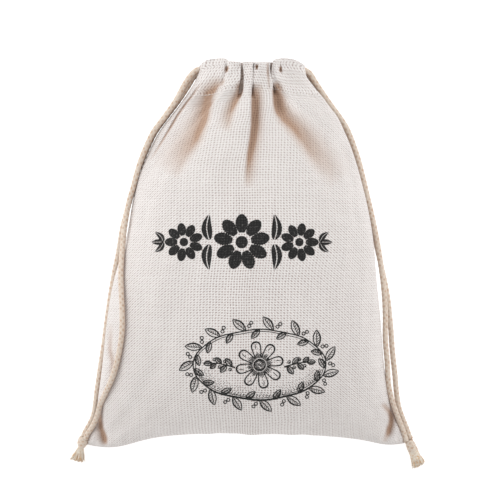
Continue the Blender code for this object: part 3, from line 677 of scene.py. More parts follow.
def relief(across, level):
    """How far the cloth stands out from its main form, in millimetres: slow waves, ripples that run
    down from the gathers and puckers along each line of stitching."""
    share = level / RIM_LEVEL
    height = np.zeros_like(across)
    for amount, wide, long, phase in UNEVENNESS:
        height += amount * np.sin(np.pi * (wide * across + long * 2 * share) + phase)
    gathers = np.clip((level - GATHERS_FROM) / GATHERS_OVER, 0, 1) ** 1.5
    height += gathers * ripples(GATHER_RIPPLES, across, share)
    at_casing = np.exp(-((level - CASING_LEVEL) / CASING_REACH) ** 2)
    height += at_casing * (ripples(CASING_PUCKERS, across, share) - CASING_DENT)
    at_bottom = np.exp(-level / BOTTOM_REACH)
    height += at_bottom * ripples(BOTTOM_PUCKERS, across, share)
    at_side = np.exp(-((1 - np.abs(across)) / SIDE_REACH))
    height += at_side * SIDE_PUCKER * np.sin(4.1 * level + 2 * across)
    return height * seam_fade(across, level)


def seam_fade(across, level):
    """1 over the panels and 0 at their seams, so that both panels meet there."""
    return (1 - np.abs(across) ** 16) * np.clip(level / 0.8, 0, 1)


def cloth_point(across, level, is_front, lift=0.0):
    """The cloth's outer face: the main form moved along its normal by the relief and the lift. The
    creases and rim gaps of the front go straight down, so that they stay in place from above."""
    points = panel_surface(across, level, is_front)
    moved = points + outward(across, level, is_front) * (relief(across, level) + lift)[..., None]
    if is_front:
        sunk = crease_depth(points) + RIM_GAP_DEPTH * rim_gap(points)
        moved[..., 2] -= sunk * seam_fade(across, level)
    moved[..., 2] = np.maximum(moved[..., 2], 0.0)
    return moved


# Grids: even columns across each panel, and rows at even steps along a line near its middle
FRONT_COLUMNS, ROWS, INNER_ROWS = 251, 205, 44
DENSE_ROWS, LINE_PLACE = 4000, -0.1
dense_level = np.linspace(0, RIM_LEVEL, DENSE_ROWS)
middle_run = run_along(panel_surface(np.full(DENSE_ROWS, LINE_PLACE), dense_level, True))
row_level = np.interp(np.linspace(0, middle_run[-1], ROWS), middle_run, dense_level)
columns_front = np.linspace(-1, 1, FRONT_COLUMNS)
columns_back = columns_front[::2]
front_grid = np.meshgrid(columns_front, row_level)
back_grid = np.meshgrid(columns_back, row_level)

# The inner face: its half width as the weave counts it, and the place across up to which it lies
# straight under the outer face, as a limit and as a share of the row's width inside. The rim's crest
# stands past both faces, by a rise in y and by a run as the weave counts it.
CLOTH_HALF_WIDTH = 150.0
STRAIGHT_LIMIT, STRAIGHT_SHARE = 0.6, 0.75
CREST_RISE, CREST_RUN = 0.5, 0.8


def cloth_width(points):
    """The woven cloth's own coordinate across a panel: the run along each row from its middle, so
    that the threads keep their pitch."""
    run = np.linalg.norm(np.diff(points, axis=1), axis=2).cumsum(axis=1)
    run = np.concatenate([np.zeros((len(run), 1)), run], axis=1)
    return run - run[:, run.shape[1] // 2, None]


def inner_grid():
    """Places across and levels of the inner face: it lies straight under the outer one in the middle,
    and past that closes in evenly to the row's width inside."""
    level = np.linspace(FIRST_HOLLOW_LEVEL, RIM_LEVEL, INNER_ROWS)
    cavity = row_values(level)[-1][:, None]
    straight = np.minimum(STRAIGHT_LIMIT, STRAIGHT_SHARE * cavity)
    reach = np.abs(columns_back)[None, :]
    closing = straight + (cavity - straight) * (reach - straight) / (1 - straight)
    across = np.sign(columns_back) * np.where(reach < straight, reach, closing)
    return across, np.repeat(level[:, None], len(columns_back), axis=1)


def bag_grids(inner):
    """The points of each face on its grid, by name: both panels, which meet at their seams, the inner
    faces, which lie the cloth's wall under them, and the crest between the two at the rim."""
    front = cloth_point(*front_grid, True)
    back = cloth_point(*back_grid, False)
    back[:, 0], back[:, -1], back[0] = front[:, 0], front[:, -1], front[0, ::2]
    inner_front = cloth_point(*inner, True, -CLOTH_WALL)
    inner_back = cloth_point(*inner, False, -CLOTH_WALL)
    inner_back[:, [0, -1]] = inner_front[:, [0, -1]] = (inner_back[:, [0, -1]] + inner_front[:, [0, -1]]) / 2
    inner_rim = [np.interp(columns_front, columns_back, inner_front[-1][:, k]) for k in range(3)]
    crest_front = (front[-1] + np.stack(inner_rim, axis=1)) / 2 + (0, CREST_RISE, 0)
    crest_back = (back[-1] + inner_back[-1]) / 2 + (0, CREST_RISE, 0)
    crest_back[[0, -1]] = crest_front[[0, -1]]
    return {"front": front, "back": back, "inner_front": inner_front, "inner_back": inner_back,
            "crest_front": crest_front[None], "crest_back": crest_back[None]}


def bag_numbers(grids):
    """The number of each point in its grid, where points that two grids share have one number."""
    ids, start = {}, 0
    for name, grid in grids.items():
        ids[name] = start + np.arange(grid[..., 0].size).reshape(grid.shape[:2])
        start += ids[name].size
    for shared, owner in (("back", "front"), ("inner_back", "inner_front"), ("crest_back", "crest_front")):
        ids[shared][:, [0, -1]] = ids[owner][:, [0, -1]]
    ids["back"][0] = ids["front"][0, ::2]
    ids["inner_back"][0] = ids["inner_front"][0]
    return ids


def bag_places(grids, inner):
    """The cloth's own coordinates of each point: its run across the cloth and its run up the cloth."""
    rows_up = np.interp(row_level, dense_level, middle_run)
    inner_places = np.stack([CLOTH_HALF_WIDTH * inner[0], np.interp(inner[1], dense_level, middle_run)], -1)
    places = {"inner_front": inner_places, "inner_back": inner_places}
    width = {"front": cloth_width(grids["front"]), "back": CLOTH_HALF_WIDTH * 2 - cloth_width(grids["back"])}
    for side, grid in (("front", front_grid), ("back", back_grid)):
        rise = rim_rise(*grid)
        places[side] = np.stack([width[side], rows_up[:, None] + rise], -1)
        places["crest_" + side] = np.stack([width[side][-1:], CREST_RUN + rows_up[-1] + rise[-1:]], -1)
    return places


def patch(ids, places):
    """Quads over a whole grid, and the cloth's coordinates at each corner."""
    corners = [(slice(0, -1), slice(0, -1)), (slice(0, -1), slice(1, None)),
               (slice(1, None), slice(1, None)), (slice(1, None), slice(0, -1))]
    faces = np.stack([ids[corner] for corner in corners], -1).reshape(-1, 4).tolist()
    return faces, np.stack([places[corner] for corner in corners], -2).reshape(-1, 2)


def strip(lower, upper, at_lower, at_upper):
    """Faces between two rows, where the lower row has twice the upper's steps, or the same, and the
    cloth's coordinates at each corner. A corner that both rows share counts once."""
    below = (slice(0, -1), slice(1, None))
    if len(lower) != len(upper):
        below = (slice(0, -2, 2), slice(1, None, 2), slice(2, None, 2))
    above = (slice(1, None), slice(0, -1))
    rows = np.stack([lower[part] for part in below] + [upper[part] for part in above], -1).tolist()
    places = np.stack([at_lower[part] for part in below] + [at_upper[part] for part in above], -2)
    faces = [list(dict.fromkeys(row)) for row in rows]
    kept = [[row.index(number) for number in face] for row, face in zip(rows, faces)]
    return faces, np.concatenate([place[keep] for place, keep in zip(places, kept)])


# The shade in the folds: columns and rows over which the height is averaged, as axis and reach, the
# height under that average that is full shelter, the reach of a strand's shadow, the depth of a
# crease in full shade, and the share of shade from each
SHELTER_REACH = ((1, 12), (0, 5))
SHELTER_DEPTH = 4.0
CORD_SHADOW = 1.1
CREASE_SHADE_DEPTH = 4.4
SHELTER_SHADE, CREASE_SHADE, CORD_SHADE, INSIDE_SHADE = 0.9, 0.9, 0.45, 0.5


def shelter(points):
    """How deep each point of the front lies among its neighbours, 0 to 1: the height averaged over
    a few rows and columns with bell weights, less its own, over 4 mm."""
    height = points[..., 2]
    for axis, reach in SHELTER_REACH:
        steps = np.arange(-reach, reach + 1)
        weights = np.exp(-(steps / (reach / 1.6)) ** 2)
        ends = [(reach, reach) if k == axis else (0, 0) for k in range(2)]
        wide = np.pad(height, ends, mode="edge")
        places = np.arange(height.shape[axis])
        total = sum(weight * np.take(wide, places + k, axis) for k, weight in enumerate(weights))
        height = total / weights.sum()
    return np.clip((height - points[..., 2]) / SHELTER_DEPTH, 0, 1)


def cord_contact(points):
    """How close each point is to a strand that lies on it: 1 at the strand, and by a bell to nearly 0
    at 2 mm beside it."""
    nearest = np.full(points.shape[:-1], 1e9)
    for _, path in strands.values():
        for point in path[::4]:
            nearest = np.minimum(nearest, ((points - point) ** 2).sum(-1))
    return np.exp(-(np.maximum(np.sqrt(nearest) - CORD_RADIUS, 0) / CORD_SHADOW) ** 2)


def bag_shade(grids):
    """How far each point lies in shade: on the front by shelter, creases and rim gaps or by the
    strands, whichever is more, on the back by the strands, and even inside."""
    pressed = np.clip(crease_depth(panel_surface(*front_grid, True)) / CREASE_SHADE_DEPTH, 0, 1) ** 0.75
    folded = SHELTER_SHADE * shelter(grids["front"]) + CREASE_SHADE * pressed + rim_gap(grids["front"])
    front = np.maximum(folded, CORD_SHADE * cord_contact(grids["front"]))
    back = CORD_SHADE * cord_contact(grids["back"])
    inside = np.full(2 * INNER_ROWS * len(columns_back), INSIDE_SHADE)
    return np.concatenate([front.ravel(), back.ravel(), inside, front[-1], back[-1]])


def build_bag(finish):
    """One closed cloth: outer faces joined at the seams, a turned rim, and the inner faces."""
    inner = inner_grid()
    grids = bag_grids(inner)
    ids, places = bag_numbers(grids), bag_places(grids, inner)
    parts = [patch(ids["front"], places["front"]),
             strip(ids["front"][0], ids["back"][1], places["front"][0], places["back"][1]),
             patch(ids["back"][1:], places["back"][1:]),
             patch(ids["inner_front"], places["inner_front"]),
             patch(ids["inner_back"], places["inner_back"])]
    for side in ("front", "back"):
        rim = ((side, -1), ("crest_" + side, 0), ("inner_" + side, -1))
        for (lower, low), (upper, high) in zip(rim, rim[1:]):
            parts.append(strip(ids[lower][low], ids[upper][high], places[lower][low], places[upper][high]))
    faces = [face for part in parts for face in part[0]]
    uv = np.concatenate([part[1] for part in parts])
    points = np.concatenate([grid.reshape(-1, 3) for grid in grids.values()])
    used = np.zeros(len(points), bool)
    used[np.concatenate([np.array(face) for face in faces])] = True
    number = np.cumsum(used) - 1
    faces = [[int(number[v]) for v in face] for face in faces]
    # The fold value is painted shade for the linen: in folds, creases and rim gaps, beside the strands, and
    # inside
    return new_piece("linen_bag", points[used], faces, finish, uv * 0.001, {"fold": bag_shade(grids)[used]})


# The weave, in metres: pitch of warp and weft, lean of the holes and the closeness of the warp that is
# left where the cloth is pulled askew, how fast the pull grows from the middle, patches and reach of
# the threads' wandering, and stretch and patches of their thick places
THREAD_PITCH = (0.00225, 0.0023)
THREAD_LEAN, THREAD_SPREAD, PULL_GROWTH = 0.42, 0.8, 18.0
WANDER_SCALE, WANDER_REACH = 60.0, 0.0016
SLUB_STRETCH, SLUB_SCALE = 0.05, 1.3


def blend_numbers(tree, share, first, second):
    """Two numbers mixed by a share, and the result."""
    return node(tree, "Mix", {0: share, 2: first, 3: second}, data_type="FLOAT").outputs[0]


def weave_group():
    """Plain weave: warp and weft threads cross every pitch, and each crossing is a small rise.

    Height is the thread's own roundness across it times a flatter one along it, with warp on top in
    every other crossing. Gap is the dark hole at each corner of four threads: two crossed rows of
    cosines past a limit, the falling row stronger on the right of the cloth and the rising row on the
    left, where the cloth is pulled askew, with the warp spread there. Slub is how thick a thread is.
    """
    tree = bpy.data.node_groups.new("plain_weave", "ShaderNodeTree")
    tree.interface.new_socket("Cloth", in_out="INPUT", socket_type="NodeSocketVector")
    for name in ("Height", "Gap", "Slub"):
        tree.interface.new_socket(name, in_out="OUTPUT", socket_type="NodeSocketFloat")
    given, result = tree.nodes.new("NodeGroupInput"), tree.nodes.new("NodeGroupOutput")
    cloth = given.outputs["Cloth"]
    wander = node(tree, "TexNoise", {"Vector": cloth, "Scale": WANDER_SCALE, "Detail": 2.0})
    wander = node(tree, "VectorMath", {0: wander.outputs["Color"], 1: (0.5, 0.5, 0.5)}, operation="SUBTRACT")
    wander = node(tree, "VectorMath", {0: wander.outputs[0], 3: WANDER_REACH}, operation="SCALE")
    moved = node(tree, "VectorMath", {0: cloth, 1: wander.outputs[0]}, operation="ADD")
    apart = node(tree, "SeparateXYZ", {0: moved.outputs[0]})
    warp, weft = (calc(tree, "DIVIDE", apart.outputs[k], THREAD_PITCH[k]) for k in (0, 1))
    sine_warp, sine_weft = (calc(tree, "SINE", calc(tree, "MULTIPLY", thread, math.pi))
                            for thread in (warp, weft))
    warp_on_top = calc(tree, "GREATER_THAN", calc(tree, "MULTIPLY", sine_warp, sine_weft), 0.0)
    round_warp, round_weft = calc(tree, "ABSOLUTE", sine_warp), calc(tree, "ABSOLUTE", sine_weft)
    over, under = (calc(tree, "MULTIPLY", calc(tree, "POWER", across, 0.8), calc(tree, "POWER", along, 0.3))
                   for across, along in ((round_warp, round_weft), (round_weft, round_warp)))
    height = blend_numbers(tree, warp_on_top, under, over)

    slow_warp, slow_weft = (calc(tree, "MULTIPLY", thread, SLUB_STRETCH) for thread in (warp, weft))
    along_warp = node(tree, "CombineXYZ", {0: calc(tree, "FLOOR", warp), 1: slow_weft}).outputs[0]
    along_weft = node(tree, "CombineXYZ", {0: slow_warp, 1: calc(tree, "FLOOR", weft), 2: 7.0}).outputs[0]
    slub_warp, slub_weft = (noise(tree, place, SLUB_SCALE, 1.0) for place in (along_warp, along_weft))
    slub = blend_numbers(tree, warp_on_top, slub_weft, slub_warp)

    pull = calc(tree, "TANH", calc(tree, "MULTIPLY", apart.outputs[0], PULL_GROWTH))
    lean = calc(tree, "MULTIPLY", pull, THREAD_LEAN)
    spread = calc(tree, "MULTIPLY", calc(tree, "ABSOLUTE", pull), 1 - THREAD_SPREAD)
    askew = calc(tree, "MULTIPLY", warp, calc(tree, "SUBTRACT", 1.0, spread))
    falling, rising = (calc(tree, "COSINE", calc(tree, "MULTIPLY", calc(tree, way, askew, weft), math.pi))
                       for way in ("ADD", "SUBTRACT"))
    corner = calc(tree, "ADD", calc(tree, "MULTIPLY", falling, calc(tree, "ADD", 0.5, lean)),
                  calc(tree, "MULTIPLY", rising, calc(tree, "SUBTRACT", 0.5, lean)))
    limit = calc(tree, "ADD", 0.36, calc(tree, "MULTIPLY", calc(tree, "ABSOLUTE", lean), 0.55))
    gap = past(tree, calc(tree, "ABSOLUTE", corner), limit, 2.4)
    gap = calc(tree, "MULTIPLY", gap, calc(tree, "ADD", 0.82, calc(tree, "MULTIPLY", corner, 0.18)))
    gap = calc(tree, "MULTIPLY", gap, calc(tree, "ADD", 0.4, calc(tree, "MULTIPLY", slub, 1.2)), clamp=True)
    full = calc(tree, "MULTIPLY", height, calc(tree, "ADD", 0.55, calc(tree, "MULTIPLY", slub, 0.9)))
    for name, value in (("Height", full), ("Gap", gap), ("Slub", slub)):
        tree.links.new(value, result.inputs[name])
    return tree


weave = weave_group()
LINEN = (0.775, 0.745, 0.722, 1.0)
LINEN_PALE = (0.83, 0.805, 0.785, 1.0)
LINEN_SLUB = (0.68, 0.645, 0.62, 1.0)
LINEN_GAP = (0.38, 0.29, 0.27, 1.0)
# Colour of the painted shade in the folds, creases, rim gaps, beside the strands and inside
LINEN_PAINTED_SHADE = (0.60, 0.42, 0.31, 1.0)
LINEN_STITCH = (0.80, 0.77, 0.74, 1.0)
MOTTLE_SCALE, MOTTLE_SHARE, SLUB_SHARE, GAP_SHARE = 22.0, 0.55, 0.3, 0.95
STITCH_ROW = float(np.interp(CASING_LEVEL, dense_level, middle_run)) * 0.001
STITCH_WIDTH, STITCH_STEP, STITCH_RISE = 0.0007, 0.0034, 1.2


def linen_finish():
    """Unbleached linen: pale threads with darker holes, a painted warm shade where the folds shut light
    out, and a row of stitches in the same thread under the casing."""
    finish, tree, shader = new_finish("unbleached_linen", 0.92)
    cloth = node(tree, "UVMap", uv_map="cloth").outputs[0]
    threads = node(tree, "Group", {0: cloth}, node_tree=weave)
    mottle, slub, gap = (calc(tree, "MULTIPLY", value, share, clamp=True) for value, share in (
        (noise(tree, cloth, MOTTLE_SCALE, 3.0), MOTTLE_SHARE),
        (threads.outputs["Slub"], SLUB_SHARE), (threads.outputs["Gap"], GAP_SHARE)))
    colour = blend_colours(tree, mottle, LINEN, LINEN_PALE)
    colour = blend_colours(tree, slub, colour, LINEN_SLUB)
    colour = blend_colours(tree, gap, colour, LINEN_GAP)
    # Painted shade: the fold value multiplies the colour towards warm brown
    fold = node(tree, "Attribute", attribute_name="fold").outputs["Fac"]
    colour = blend_colours(tree, past(tree, fold, 0.05, 1.1), colour, LINEN_PAINTED_SHADE, "MULTIPLY")
    apart = node(tree, "SeparateXYZ", {0: cloth})
    from_row = calc(tree, "ABSOLUTE", calc(tree, "SUBTRACT", apart.outputs[1], STITCH_ROW))
    on_row = calc(tree, "SUBTRACT", 1.0, calc(tree, "DIVIDE", from_row, STITCH_WIDTH), clamp=True)
    dash = calc(tree, "SINE", calc(tree, "MULTIPLY", apart.outputs[0], 2 * math.pi / STITCH_STEP))
    dash = calc(tree, "MULTIPLY", calc(tree, "ADD", dash, 0.4), 2.0, clamp=True)
    stitch = calc(tree, "MULTIPLY", on_row, dash)
    colour = blend_colours(tree, stitch, colour, LINEN_STITCH)
    tree.links.new(colour, shader.inputs["Base Color"])
    height = calc(tree, "ADD", threads.outputs["Height"], calc(tree, "MULTIPLY", stitch, STITCH_RISE))
    raise_surface(tree, shader, height, strength=0.55, distance=0.0006)
    shader.inputs["Sheen Weight"].default_value = 0.12
    shader.inputs["Sheen Roughness"].default_value = 0.6
    return finish


linen = linen_finish()
bag = build_bag(linen)
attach(bag, "root")
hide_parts("bag_cloth")


# The print: one black ink, stamped on the front panel. A row of stamped daisies and leaves stands
# above, and a fine oval wreath of leaves round a drawn flower below, with hatching and dots.
# How far the ink lies over the cloth, the widest column of a stroke, and the middle of each design
INK_LIFT = 0.16
COLUMN_WIDTH = 1.1
UPPER_MIDDLE, LOWER_MIDDLE = (-2.4, 9.6), (13.3, -97.7)
strokes = []


def stroke(x, y, half_width, rough=0.0):
    """A stroke of ink: its spine of points x and y, moved to both sides by the half width, which
    wavers by the rough share. Wide strokes get more columns, so that they follow the cloth."""
    spine = np.stack(np.broadcast_arrays(x, y), -1).astype(float)
    step = np.gradient(spine, axis=0)
    left = np.stack([-step[:, 1], step[:, 0]], -1)
    left /= np.maximum(np.linalg.norm(left, axis=1, keepdims=True), 1e-9)
    place = np.arange(len(spine)) + 17.0 * len(strokes)
    half = np.broadcast_to(half_width, len(spine))
    edges = [half * (1 + rough * (np.sin(1.9 * place + k) + 0.7 * np.sin(4.3 * place + 2 * k)))
             for k in (0.0, 2.2)]
    across = np.linspace(-1, 1, 2 * math.ceil(float(half.max()) / COLUMN_WIDTH) + 1)[None, :]
    off = np.where(across < 0, across * edges[0][:, None], across * edges[1][:, None])
    strokes.append(spine[:, None] + left[:, None] * off[..., None])


def drawn_line(start, end, bow, half_width, count=14, taper=0.5):
    """A thin line bowed to its left by bow at its middle, thinner towards its ends."""
    start, end = np.array(start, float), np.array(end, float)
    t = np.linspace(0, 1, count)
    across = np.array((start[1] - end[1], end[0] - start[0])) / max(np.linalg.norm(end - start), 1e-9)
    spine = start + (end - start) * t[:, None] + across * (bow * 4 * t * (1 - t))[:, None]
    stroke(spine[:, 0], spine[:, 1], half_width * (1 - taper + taper * np.sin(np.pi * t) ** 0.6), 0.08)


def dot(x, y, radius):
    """A dot: a short stroke whose half width follows a circle."""
    t = np.linspace(-1, 1, 7)
    stroke(x + radius * t, y, radius * np.sqrt(1 - t * t), 0.05)


def ring(x, y, radius, half_width):
    """A drawn circle."""
    t = np.linspace(0, 2 * np.pi, 25)
    stroke(x + radius * np.cos(t), y + radius * np.sin(t), half_width, 0.08)


def stamped_leaf(base, angle, length, width, vein=0.5, bow=0.1):
    """A solid leaf in two halves, with a bare vein between them: its width follows a sine that
    leans towards the base, and it bends to its left by the share bow of its length."""
    t = np.linspace(0, 1, 30)
    edge = vein + width * np.sin(np.pi * t ** 0.75) ** 0.9
    bend = bow * length * np.sin(np.pi * t)
    for side in (-1, 1):
        along, off = length * t, bend + side * (edge + vein) / 2
        stroke(base[0] + along * math.cos(angle) - off * math.sin(angle),
               base[1] + along * math.sin(angle) + off * math.cos(angle), (edge - vein) / 2 + 0.05, 0.07)


def stamped_daisy(x, y, radius, turned, petals=9):
    """A solid daisy: broad petals round a disc, with a bare ring between them. A petal's half width
    follows a power of a sine along it, and its sizes are shares of the daisy's radius."""
    t = np.linspace(0, 1, 26)
    for k in range(petals):
        angle = turned + 2 * np.pi * k / petals
        out = radius * (0.34 + 0.66 * t)
        stroke(x + out * math.cos(angle), y + out * math.sin(angle),
               radius * 0.225 * np.sin(np.pi * (0.12 + 0.86 * t) ** 1.25) ** 0.6, 0.05)
    t = np.linspace(-1, 1, 24)
    stroke(x + radius * 0.22 * t, y, radius * 0.22 * np.sqrt(np.maximum(1 - t * t, 0)), 0.04)


def turned_plan(angle):
    """The matrix that turns rows of points by an angle."""
    return np.array(((math.cos(angle), math.sin(angle)), (-math.sin(angle), math.cos(angle))))


def drawn_leaf(base, angle, length, width):
    """A leaf in outline, heavier on its lower side, with its vein, hatching on one half and dots
    that thicken towards the base on the other."""
    def place(along, off):
        return np.array(base) + np.array((along * length, off * width)) @ turned_plan(angle)
    drawn_line(place(0, 0), place(1, 0), width, 0.46, 16, 0.3)
    drawn_line(place(0, 0), place(1, 0), -width, 0.70, 16, 0.55)
    drawn_line(place(0.04, 0), place(0.9, 0), 0.05 * width, 0.36, 12, 0.6)
    for k in range(5):
        along = 0.16 + 0.14 * k
        edge = place(along + 0.11, -0.66 * math.sin(math.pi * (along + 0.1)))
        drawn_line(place(along, -0.06), edge, 0.0, 0.27, 6, 0.5)
    for k in range(7):
        along = 0.14 + 0.10 * k
        off = (0.32 + 0.25 * math.sin(5 * k)) * math.sin(math.pi * along)
        dot(*place(along, off), 0.42 - 0.03 * k)


def print_upper_band():
    """Three daisies in a row with pairs of leaves between them, and a spray of leaves at both ends."""
    stamped_daisy(0.0, 0.0, 24.5, math.pi / 2)
    for side in (-1, 1):
        outwards = 0.0 if side > 0 else math.pi
        stamped_daisy(side * 50.5, 0.0, 16.8, outwards)
        for upwards in (-1, 1):
            base, bow = (side * 28.5, upwards * 2.0), -0.1 * side * upwards
            stamped_leaf(base, upwards * math.pi / 2, 22.0, 4.0, bow=bow)
        for lean, length in ((0.0, 11.0), (0.85, 11.5), (-0.85, 11.5)):
            stamped_leaf((side * 68.5, 0.0), outwards + lean, length, 2.2, vein=0.3, bow=0.12 * np.sign(lean))


def stippling(count, place, small, large, seed):
    """Dots spread by two even runs of numbers: place takes a share along and a share inwards, which
    is squared so that the dots crowd at the start, where they are larger too."""
    for k in range(count):
        along = (k * 0.6180340 + seed) % 1.0
        inwards = ((k * 0.7548777 + 0.31 * seed) % 1.0) ** 2
        dot(*place(along, inwards), large + (small - large) * math.sqrt(inwards))


def open_flower(petals, inner, outer, width):
    """One flower seen from the front: petals in outline with a fold, hatching and dots at their
    foot, round a dark stippled middle."""
    t = np.linspace(0, 1, 44)
    reach, half = inner + (outer - inner) * np.sin(np.pi * t) ** 0.6, width * np.cos(np.pi * t)
    for k in range(petals):
        turn = turned_plan(2 * np.pi * k / petals + 0.2)
        loop = np.stack([reach, half * (0.4 + 0.6 * np.sin(np.pi * t))], -1) @ turn
        stroke(loop[:, 0], loop[:, 1], 0.45 + 0.3 * np.sin(np.pi * t) ** 2, 0.08)
        for j in (-2, -1, 0, 1, 2):
            first, last = np.array(((inner + 0.4, 0.55 * j), (inner + 6.2 - 1.1 * abs(j), 1.15 * j))) @ turn
            drawn_line(first, last, 0.15 * j, 0.34, 8, 0.6)
        fold = np.array(((outer - 6.5, 0.6), (outer - 1.6, -0.4))) @ turn
        drawn_line(fold[0], fold[1], 0.5, 0.3, 8, 0.7)

        def at_foot(along, inwards):
            return np.array((inner + 3.0 + 8.0 * inwards, (along - 0.5) * width * 1.3)) @ turn
        stippling(9, at_foot, 0.30, 0.45, 0.13 * k)
    ring(0.0, 0.0, inner - 0.6, 0.55)

    def in_middle(along, inwards):
        angle, out = 2 * math.pi * along, (inner - 1.3) * (1 - 0.9 * inwards)
        return out * math.cos(angle), out * math.sin(angle)
    stippling(90, in_middle, 0.34, 0.52, 0.5)


def drawn_sprig(start, angle, length, leaves, bend):
    """A bent stem with leaves on both sides, one at its tip and a berry across from each."""
    turn = turned_plan(angle)

    def place(along, off=0.0):
        return np.array(start) + np.array((along * length, bend * math.sin(math.pi * along / 2) + off)) @ turn
    spine = np.array([place(along) for along in np.linspace(0, 1, 24)])
    stroke(spine[:, 0], spine[:, 1], np.linspace(0.7, 0.35, 24), 0.1)
    for k in range(leaves):
        along = (k + 0.6) / (leaves + 0.4)
        side = 1 if k % 2 else -1
        drawn_leaf(place(along), angle + side * (0.95 - 0.25 * along), 9.5 - 3.0 * along, 2.3 - 0.6 * along)
        berry = place(along + 0.08, -side * 3.0)
        ring(*berry, 1.2, 0.36)
        dot(berry[0] + 0.3, berry[1] - 0.3, 0.5)
    drawn_leaf(place(1.0), angle + 0.1, 7.5, 1.9)


def print_lower_wreath():
    """An oval wreath of drawn leaves and berries, stippled inside along its foot, round one open
    flower with a sprig on each side. Long leaves that point outwards, with two berries each, take
    turns with short ones that point inwards."""
    wide, high, leaves = 58.0, 31.0, 30
    t = np.linspace(0, 2 * np.pi, 241)
    heavy = 0.5 + 0.45 * np.clip(-np.sin(t), 0, 1) ** 2
    stroke(wide * np.cos(t), high * np.sin(t) + 0.4 * np.sin(9 * t), heavy, 0.12)
    stroke((wide - 1.9) * np.cos(t), (high - 1.9) * np.sin(t) + 0.4 * np.sin(9 * t + 0.4), 0.28, 0.15)
    for k in range(leaves):
        t = 2 * np.pi * (k + 0.5) / leaves
        x, y = wide * math.cos(t), high * math.sin(t)
        along = math.atan2(high * math.cos(t), -wide * math.sin(t))
        lean, length, width = (0.8, 10.5, 2.3) if k % 2 else (-0.8, 15.0, 3.1)
        drawn_leaf((x, y), along + lean, length, width)
        berries = () if k % 2 else ((-3.2, 3.6), (-5.4, 6.2))
        for step, off in berries:
            ring(x + step * math.cos(along) + off * math.sin(along),
                 y + step * math.sin(along) - off * math.cos(along), 1.35, 0.4)

    def along_foot(along, inwards):
        angle = math.pi * (1.05 + 0.9 * along)
        return (wide - 3.2 - 9.0 * inwards) * math.cos(angle), (high - 3.0 - 9.0 * inwards) * math.sin(angle)
    stippling(330, along_foot, 0.28, 0.50, 0.27)
    open_flower(petals=8, inner=5.6, outer=20.5, width=6.4)
    for side, angle in ((1, 0.0), (-1, math.pi)):
        drawn_sprig((side * 21.5, -2.0), angle, 20.0, 4, side * 4.0)


# The search for a point's place on the panel: a first guess at the half width, its steps, the small
# step that gives the slope, and how near it may come to the seams and the rim
HALF_WIDTH_GUESS, FIRST_LIMIT = 125.0, 0.9
NEWTON_STEPS, SLOPE_STEP = 12, 1e-3
ACROSS_LIMIT, LEVEL_MARGIN = 0.97, 0.2


def place_on_front(plan):
    """Places across and level of the front panel under points seen from above, by Newton steps."""
    across = np.clip(plan[:, 0] / HALF_WIDTH_GUESS, -FIRST_LIMIT, FIRST_LIMIT)
    level = np.interp(plan[:, 1], LEVELS[:, 0], np.arange(len(LEVELS)))
    for _ in range(NEWTON_STEPS):
        here = panel_surface(across, level, True)
        slope_x = (panel_surface(across + SLOPE_STEP, level, True) - here)[:, 0] / SLOPE_STEP
        slope_y = (panel_surface(across, level + SLOPE_STEP, True) - here)[:, 1] / SLOPE_STEP
        across = np.clip(across + (plan[:, 0] - here[:, 0]) / slope_x, -ACROSS_LIMIT, ACROSS_LIMIT)
        level = np.clip(level + (plan[:, 1] - here[:, 1]) / slope_y, LEVEL_MARGIN, RIM_LEVEL - LEVEL_MARGIN)
    return across, level


def build_print(name, draw, middle, finish):
    """Draws one design, lays it on the cloth and gives it the cloth's own coordinates."""
    strokes.clear()
    draw()
    plan, faces, start = [], [], 0
    for shape in strokes:
        ids = start + np.arange(shape.shape[0] * shape.shape[1]).reshape(shape.shape[:2])
        faces.append(np.stack([ids[:-1, :-1], ids[1:, :-1], ids[1:, 1:], ids[:-1, 1:]], -1).reshape(-1, 4))
        plan.append(shape.reshape(-1, 2))
        start += ids.size
    plan, faces = np.concatenate(plan) + middle, np.concatenate(faces)
    across, level = place_on_front(plan)
    points = cloth_point(across, level, True, INK_LIFT)
    row = np.clip(np.searchsorted(row_level, level) - 1, 0, ROWS - 2)
    column = (across + 1) / 2 * (FRONT_COLUMNS - 1)
    low = np.floor(column).astype(int)
    width = front_width[row, low] + (front_width[row, low + 1] - front_width[row, low]) * (column - low)
    uv = np.stack([width, np.interp(level, dense_level, middle_run)], -1)[faces] * 0.001
    design = new_piece(name, points, faces.tolist(), finish, uv.reshape(-1, 2), outwards=False)
    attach(design, "root")
    return design


INK = (0.014, 0.014, 0.0135, 1.0)
WEAR_SCALE, WEAR_SHARE, OPEN_SHARE = 520.0, 0.25, 0.03


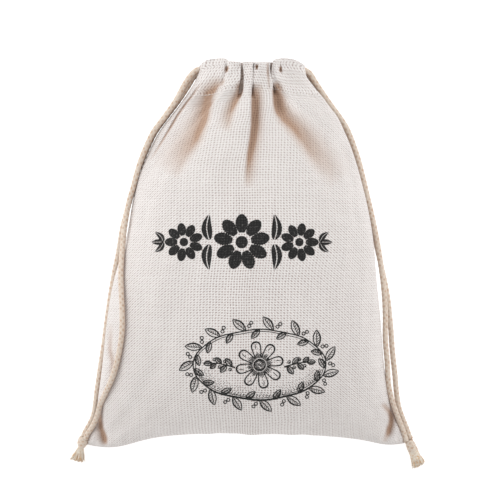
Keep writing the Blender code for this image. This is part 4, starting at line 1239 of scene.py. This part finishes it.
def ink_finish():
    """Matt black textile ink that sinks into the threads: thin in places, open over the gaps."""
    finish, tree, shader = new_finish("black_textile_ink", 0.85)
    cloth = node(tree, "UVMap", uv_map="cloth").outputs[0]
    threads = node(tree, "Group", {0: cloth}, node_tree=weave)
    thin = past(tree, noise(tree, cloth, WEAR_SCALE, 2.0), 0.60, 4.0)
    bare = calc(tree, "ADD", calc(tree, "MULTIPLY", thin, WEAR_SHARE),
                calc(tree, "MULTIPLY", threads.outputs["Gap"], OPEN_SHARE), clamp=True)
    tree.links.new(blend_colours(tree, bare, INK, LINEN), shader.inputs["Base Color"])
    shader.inputs["Specular IOR Level"].default_value = 0.25
    raise_surface(tree, shader, threads.outputs["Height"], strength=0.5, distance=0.0006)
    return finish


front_width = cloth_width(cloth_point(*front_grid, True))
ink = ink_finish()
build_print("stamped_flower_band", print_upper_band, UPPER_MIDDLE, ink)
build_print("drawn_leaf_wreath", print_lower_wreath, LOWER_MIDDLE, ink)


# Floor and light: white card that runs out past the view and glows a little, a soft box on each side
# and one past the mouth, and a pale room.
FLOOR_REACH = 3000
FLOOR_COLOUR, WHITE = (0.6, 0.6, 0.6, 1.0), (1.0, 1.0, 1.0, 1.0)
FLOOR_GLOW, ROOM_LIGHT = 0.64, 0.75
# Name, place and watts of each soft box, which faces the middle of the floor
SOFT_BOXES = (("left", (-0.95, 0.20, 0.50), 4.5), ("right", (0.98, 0.10, 0.50), 3.0),
              ("far", (0.10, 1.05, 0.45), 3.1))
SOFT_BOX_SIZE = 0.7

floor_finish, _, floor_shader = new_finish("white_card", 0.9)
floor_shader.inputs["Base Color"].default_value = FLOOR_COLOUR
floor_shader.inputs["Emission Color"].default_value = WHITE
floor_shader.inputs["Emission Strength"].default_value = FLOOR_GLOW
floor_corners = [(x * FLOOR_REACH, y * FLOOR_REACH, 0) for x, y in ((-1, -1), (1, -1), (1, 1), (-1, 1))]
floor = new_piece("floor_card", floor_corners, [(0, 1, 2, 3)], floor_finish, outwards=False)

world = bpy.data.worlds.new("pale_room")
world.use_nodes = True
world.node_tree.nodes["Background"].inputs["Color"].default_value = WHITE
world.node_tree.nodes["Background"].inputs["Strength"].default_value = ROOM_LIGHT
scene.world = world

for name, place, watts in SOFT_BOXES:
    lamp_data = bpy.data.lights.new("soft_box_" + name, "AREA")
    lamp_data.shape = "SQUARE"
    lamp_data.size = SOFT_BOX_SIZE
    lamp_data.energy = watts
    lamp = bpy.data.objects.new("soft_box_" + name, lamp_data)
    lamp.location = place
    lamp.rotation_euler = mathutils.Vector(place).to_track_quat("Z", "Y").to_euler()
    scene.collection.objects.link(lamp)
